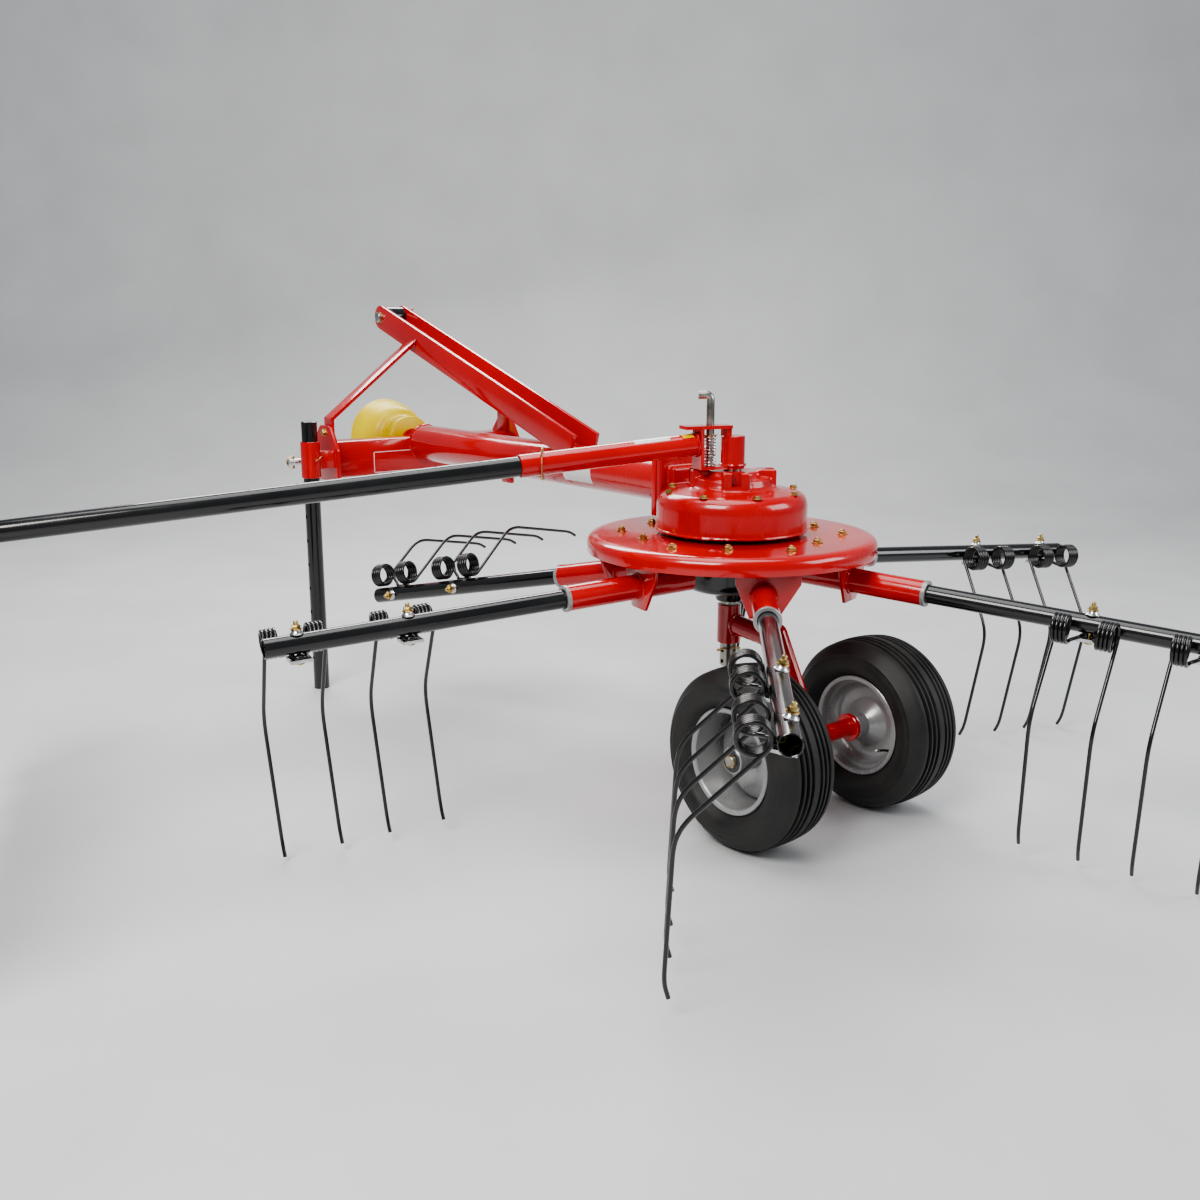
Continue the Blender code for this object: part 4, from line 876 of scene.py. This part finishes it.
tyreProfile = [(radius, -height) for radius, height in treadHalf] + [(radius, height)
    for radius, height in treadHalf[::-1]]
rimProfile = [(0.0133, -0.0785), (0.0285, -0.0785), (0.0300, -0.0770), (0.0300, -0.0470), (0.0330, -0.0440),
    (0.0560, -0.0210), (0.0620, -0.0185), (0.0820, -0.0190), (0.0880, -0.0210), (0.0950, -0.0280),
    (0.1000, -0.0390), (0.1075, -0.0430), (0.1075, -0.0600), (0.1100, -0.0635), (0.1180, -0.0640),
    (0.1200, -0.0625), (0.1195, -0.0605), (0.1135, -0.0565), (0.1135, 0.0565), (0.1195, 0.0605),
    (0.1200, 0.0625), (0.1180, 0.0640), (0.1100, 0.0635), (0.1075, 0.0600), (0.1075, -0.0300),
    (0.1010, -0.0180), (0.0960, -0.0130), (0.0880, -0.0110), (0.0400, -0.0120), (0.0300, -0.0100),
    (0.0300, 0.0510), (0.0285, 0.0525), (0.0133, 0.0525)]
for side, name in ((-1, "left"), (1, "right")):
    centre = Vector((side * wheel["out"], -wheel["back"], wheel["radius"]))
    place = along(centre, centre + Vector((side, 0, 0)))
    makePiece(f"{name}Tyre", [turnedShape(tyreProfile, 144, place)], "rubber", f"{name}_wheel",
        [f"{name}_tyre"])
    makePiece(f"{name}Rim", [turnedShape(rimProfile, 112, place)], "rim", f"{name}_wheel", [f"{name}_rim"])
    valve = place @ Matrix.Rotation(math.radians(205), 4, "Z")
    stem = [valve @ Vector(point) for point in ((0.1068, 0, -0.046), (0.100, 0, -0.048), (0.094, 0, -0.060),
        (0.091, 0, -0.072))]
    makeWires(f"{name}Valve", [smoothCurve(stem, 6)], 0.0030, "black", f"{name}_wheel", sides=12)
    makePiece(f"{name}ValveCap", [rodShape(stem[-1], stem[-1] + (stem[-1] - stem[-2]).normalized() * 0.010,
        0.0040, 20)], "zinc", f"{name}_wheel")
    for label, where, facing in (("Out", 0.0525, 1), ("In", -0.0785, -1)):
        ends = place @ Vector((0, 0, where)), place @ Vector((0, 0, where + facing * 0.0012))
        makePiece(f"{name}Seal{label}", [tubeShape(ends[0], ends[1], 0.0262, 0.0105, 56, 0.0004)], "black",
            f"{name}_wheel")

axle = Vector((0, -wheel["back"], wheel["radius"]))
tubeEnd = wheel["out"] - wheel["half"] + 0.004 - 0.0012 - 0.0008
caster = {"low": 0.375, "high": 0.470, "radius": 0.0285, "arm": 0.4225, "barTop": -0.165}
sleeve = [(0.0218, caster["low"]), (0.0275, caster["low"]), (caster["radius"], 0.376), (caster["radius"],
    0.469), (0.0275, caster["high"]), (0.0218, caster["high"])]
barOutline = roundedBar((caster["barTop"], caster["arm"]), (axle.y + 0.016, axle.z + 0.012), 0.056, steps=28)
frameShapes = [turnedShape(sleeve, 80), rodShape((0, -0.0245, caster["arm"]), (0, caster["barTop"] + 0.004,
    caster["arm"] - 0.012), 0.024, 64), rodShape((-tubeEnd + 0.012, axle.y, axle.z), (tubeEnd - 0.012,
    axle.y, axle.z), 0.021, 64)]
frameShapes += [rodShape((side * (tubeEnd - 0.012), axle.y, axle.z), (side * tubeEnd, axle.y, axle.z),
    0.033, 64, 0.0015) for side in (-1, 1)]
makePiece("wheelFrame", frameShapes, "red", "wheel_frame", ["wheel_frame"])
makePiece("wheelFrameBar", [prism(barOutline, 0.016, sidePlane(0))], "red", "wheel_frame", bevel=0.0016)
makePiece("spindles", [rodShape((side * (tubeEnd - 0.002), axle.y, axle.z), (side * 0.267, axle.y, axle.z),
    wheel["spindle"], 48, 0.0015) for side in (-1, 1)], "steel", "wheel_frame")
makePiece("spindleNuts", [hexShape((side * 0.2628, axle.y, axle.z), (side * 0.2660, axle.y, axle.z), 0.0165)
    for side in (-1, 1)], "gold", "wheel_frame")
weldBead("wheelFrameWelds", [ringLine(axle + Vector((0.0085 * side, 0, 0)), (1, 0, 0), 0.0218, 50)
    for side in (-1, 1)] + [ringLine((0, caster["barTop"] + 0.030, caster["arm"] - 0.011), (0, -1, 0.0),
    0.0248, 56), ringLine((0, -0.029, caster["arm"] - 0.0008), (0, -1, 0.0), 0.0248, 56)], "wheel_frame")
print("wheels made")

# the deflector's bracket, lock pin, tube and pole
swing = {"heading": 288.0, "low": 0.8003, "high": 0.904, "sleeveHigh": 0.878, "half": 0.026,
    "pinOut": 0.060, "pin": 0.0095, "plateOut": 0.0937, "axis": 0.868, "slope": 4.65, "start": 0.094,
    "tubeEnd": 0.530, "tube": 0.026, "pole": 0.0225, "poleStart": 0.400, "poleEnd": 1.750,
    "holeStart": 0.62, "holeStep": 0.10, "holes": 6}
swingOut, swingAcross = headingVector(swing["heading"]), headingVector(swing["heading"] + 90)
slope = math.radians(swing["slope"])
poleAxis = swingOut * math.cos(slope) - Vector((0, 0, math.sin(slope)))
flat = placed((0, 0, 0), swingOut, -swingAcross)
poleAt = lambda distance: Vector((0, 0, swing["axis"])) + poleAxis * distance


def bracketPlate(start, end, half, low, high):
    return blockShape((start, -half, low), (end, half, high), flat)


sleeveProfile = [(0.0218, swing["low"]), (0.0275, swing["low"]), (0.0285, swing["low"] + 0.001),
    (0.0285, 0.8765), (0.0270, swing["sleeveHigh"]), (0, swing["sleeveHigh"]), (0, 0.8688),
    (0.0218, 0.8688)]
pinHole = swingOut * swing["pinOut"]
makePiece("swingSleeve", [turnedShape(sleeveProfile, 80)], "red", "deflector_arm", ["swing_bracket"])
makePiece("swingBracket", [bracketPlate(0.0255, swing["plateOut"] - 0.002, swing["half"],
    swing["low"] + 0.001, swing["low"] + 0.008), bracketPlate(swing["plateOut"] - 0.008, swing["plateOut"],
    swing["half"] - 0.0005, swing["low"] + 0.001, 0.902), bracketPlate(0.012, swing["plateOut"] + 0.036,
    swing["half"] - 0.003, 0.896, swing["high"]), bracketPlate(0.012, 0.024, 0.018, 0.876, 0.902)], "red",
    "deflector_arm", bevel=0.0013, cuts=[rodShape(pinHole + upZ * (swing["low"] - 0.05),
    pinHole + upZ * 0.954, 0.0101, 40)])
bend = headingVector(swing["heading"] + 25)
pinTop = pinHole + upZ * 0.975
pinLine = bentLine([pinHole + upZ * (swing["low"] + 0.0005), pinTop - upZ * 0.0005,
    pinTop + bend * 0.029 - upZ * 0.001], 0.013, 12)
makeWires("lockPin", [dense(pinLine, 0.004)], swing["pin"], "steel", "deflector_arm", ["lock_pin"], sides=36)
spring = ringLine(pinHole + upZ * (swing["low"] + 0.011), upZ, 0.0128, 28, 9.0, 0.066)
makeWires("pinSpring", [ringLine(pinHole + upZ * (swing["low"] + 0.0105), upZ, 0.0128, 28, 1.0) + spring
    + ringLine(pinHole + upZ * (swing["low"] + 0.077), upZ, 0.0128, 28, 1.0)], 0.0014, "zinc",
    "deflector_arm", sides=8)
makePiece("springWasher", [tubeShape(pinHole + upZ * 0.8795, pinHole + upZ * 0.8815, 0.0165, 0.0066, 48,
    0.0004)], "gold", "deflector_arm")

tubeStart = (swing["start"] + swing["tube"] * math.sin(slope)) / math.cos(slope)
makePiece("deflectorTube", [tubeShape(poleAt(tubeStart), poleAt(swing["tubeEnd"]), swing["tube"],
    swing["tube"] - 0.0233, 80)], "red", "deflector_arm", ["deflector_tube"])
tubePlace = Matrix.Translation(poleAt(0)) @ Matrix((poleAxis.cross(upZ).normalized(),
    poleAxis.cross(upZ).cross(poleAxis).normalized() * -1, poleAxis)).transposed().to_4x4()
makePiece("tubeLabel", [patchShape(tubePlace, swing["tube"], 0.167, 0.255, -2.3, -0.9)], "label",
    "deflector_arm")
makePiece("tubePatch", [patchShape(tubePlace, swing["tube"], 0.107, 0.134, -2.3, -0.9)], "labelYellow",
    "deflector_arm")
straight, rings = snapPin(poleAt(0.475), upZ, poleAxis, 0.037, 0.037)
makeWires("tubePin", straight, 0.0034, "gold", "deflector_arm", sides=14)
makeWires("tubePinRing", rings, 0.0014, "gold", "deflector_arm", sides=8)
weldBead("swingWelds", [ringLine(poleAt(tubeStart + 0.0015), poleAxis, swing["tube"] + 0.0006, 60),
    ringLine((0, 0, swing["low"] + 0.009), upZ, 0.0290, 66)], "deflector_arm")

poleEnd = poleAt(swing["poleEnd"])
poleHoles = [rodShape(poleAt(at) - upZ * 0.05, poleAt(at) + upZ * 0.05, 0.0048, 20, 0.0002)
    for at in (swing["holeStart"] + swing["holeStep"] * i for i in range(swing["holes"]))]
makePiece("deflectorPole", [tubeShape(poleAt(swing["poleStart"]), poleEnd, swing["pole"], 0.003, 72)],
    "black", "deflector_pole", ["deflector_pole"], cuts=poleHoles)
hang = poleAt(swing["poleEnd"] + 0.0003) + swingOut * 0.015 / math.cos(slope)
barEnds = [hang + swingAcross * side * 0.600 for side in (-1, 1)]
makePiece("curtainBar", [tubeShape(barEnds[0], barEnds[1], 0.015, 0.0025, 56)], "black", "deflector_pole",
    ["curtain_bar"])
weldBead("poleWeld", [ringLine(poleAt(swing["poleEnd"] - 0.001), poleAxis, swing["pole"] + 0.0004, 56)],
    "deflector_pole", finish="black")
print("deflector made")

# the curtain: one thin sheet hung from the bar, with soft folds that grow towards its lower edge
cloth = {"width": 1.200, "drop": 0.5500, "thick": 0.0024, "across": 180, "down": 80, "fold": 0.0085}
clothPlace = Matrix.Translation(hang) @ flat
bm = bmesh.new()
uvLayer = bm.loops.layers.uv.new("cloth")
grid = []
for row in range(cloth["down"] + 1):
    line = []
    for column in range(cloth["across"] + 1):
        s, t = column / cloth["across"], row / cloth["down"]
        growth = t ** 1.3
        fold = math.sin(s * 2 * math.pi * 5.5 + 0.5 * math.sin(3.1 * t)) + 0.45 * noise.noise(Vector((s * 7,
            t * 2.2, 4.0)))
        y = -cloth["width"] / 2 + cloth["width"] * s
        line.append(bm.verts.new((cloth["fold"] * growth * fold, y, -0.0155 - cloth["drop"] * t)))
    grid.append(line)
for row in range(cloth["down"]):
    for column in range(cloth["across"]):
        face = bm.faces.new((grid[row][column], grid[row + 1][column], grid[row + 1][column + 1],
            grid[row][column + 1]))
        for loop, (u, v) in zip(face.loops, ((column, row), (column, row + 1), (column + 1, row + 1),
                (column + 1, row))):
            loop[uvLayer].uv = (u / cloth["across"] * cloth["width"], -v / cloth["down"] * cloth["drop"])
bm.transform(machineShift @ clothPlace)
mesh = meshFrom("curtainCloth", bm)
mesh.materials.append(paint["canvas"])
curtain = newObject("curtainCloth", mesh)
thick = curtain.modifiers.new("thick", "SOLIDIFY")
thick.thickness, thick.offset = cloth["thick"], 0
bakeModifiers(curtain)
finishPiece(curtain, "deflector_pole", ["curtain"])
strap = {"count": 7, "reach": 0.56, "width": 0.016, "rivets": (-0.034, -0.050)}
straps, rivets = [], []
for number in range(strap["count"]):
    y = -strap["reach"] + 2 * strap["reach"] * number / (strap["count"] - 1)
    centre = clothPlace @ Vector((0, y, 0))
    straps.append(tubeShape(centre - swingAcross * strap["width"], centre + swingAcross * strap["width"],
        0.0172, 0.0019, 40, 0.0003))
    straps.append(blockShape((-0.0026, y - strap["width"], -0.060), (0.0026, y + strap["width"], -0.0150),
        clothPlace))
    for down in strap["rivets"]:
        rivets.append(rodShape(clothPlace @ Vector((-0.0046, y, down)), clothPlace @ Vector((0.0046, y,
            down)), 0.0042, 20, 0.0006))
strapObject = makePiece("curtainStraps", straps, "rubber", "deflector_pole")
rivetObject = makePiece("curtainRivets", rivets, "zinc", "deflector_pole")
print("curtain made")

# the stage, the lights and the camera
view = {"at": (-2.089, -2.180, 1.153), "heading": 37.78, "tilt": 77.34, "sensor": 36, "lens": 37.875}
floorBm = bmesh.new()
rise = [(-7.5, 0.0), (3.6, 0.0), (4.3, 0.08), (4.9, 0.34), (5.4, 0.80), (5.7, 1.4), (5.8, 4.6)]
viewTurn = Matrix.Rotation(-math.radians(view["heading"]), 4, "Z")
rows = [[floorBm.verts.new(viewTurn @ Vector((x, y, z))) for x in (-9.0, 9.0)] for y, z in rise]
for low, high in zip(rows, rows[1:]):
    floorBm.faces.new((low[0], low[1], high[1], high[0]))
floorMesh = meshFrom("floor", floorBm)
floorMesh.shade_smooth()
floor = newObject("floor", floorMesh)
paleFloor, floorTree, floorShader = newMaterial("paleFloor")
floorTree.links.new(rampNode(floorTree, noiseNode(floorTree, 2.2, 5), [(0.3, grey(0.60)),
    (0.7, grey(0.66))]), floorShader.inputs["Base Color"])
floorShader.inputs["Roughness"].default_value = 0.55
floorMesh.materials.append(paleFloor)


def areaLight(name, at, target, size, power, colour=(1, 1, 1)):
    data = bpy.data.lights.new(name, "AREA")
    data.shape, data.size, data.size_y, data.energy, data.color = "RECTANGLE", size[0], size[1], power, colour
    lamp = newObject(name, data)
    lamp.location = at
    lamp.rotation_euler = (Vector(target) - Vector(at)).to_track_quat("-Z", "Y").to_euler()


areaLight("keyLight", (-3.4, -1.6, 4.2), (0.2, 0.1, 0.5), (2.6, 2.0), 210, (1.0, 0.98, 0.95))
areaLight("fillLight", (2.8, -3.6, 2.6), (0.2, 0.0, 0.5), (2.6, 2.0), 80, (0.94, 0.97, 1.0))
areaLight("backLight", (1.6, 3.4, 3.6), (0.2, 0.2, 0.6), (3.4, 1.4), 130)
areaLight("topLight", (0.2, 0.2, 5.2), (0.2, 0.2, 0.0), (3.5, 3.5), 120)

world = bpy.data.worlds.new("studio")
bpy.context.scene.world = world
world.use_nodes = True
background = world.node_tree.nodes["Background"]
background.inputs["Color"].default_value = (0.80, 0.84, 0.90, 1)
background.inputs["Strength"].default_value = 0.34

cameraData = bpy.data.cameras.new("camera")
cameraData.sensor_width, cameraData.lens = view["sensor"], view["lens"]
camera = newObject("camera", cameraData)
camera.location = machineShift @ Vector(view["at"])
camera.rotation_euler = (math.radians(view["tilt"]), 0, math.radians(-view["heading"]))
bpy.context.scene.camera = camera
bpy.context.scene.view_settings.view_transform = "AgX"
bpy.context.scene.view_settings.look = "AgX - Medium High Contrast"
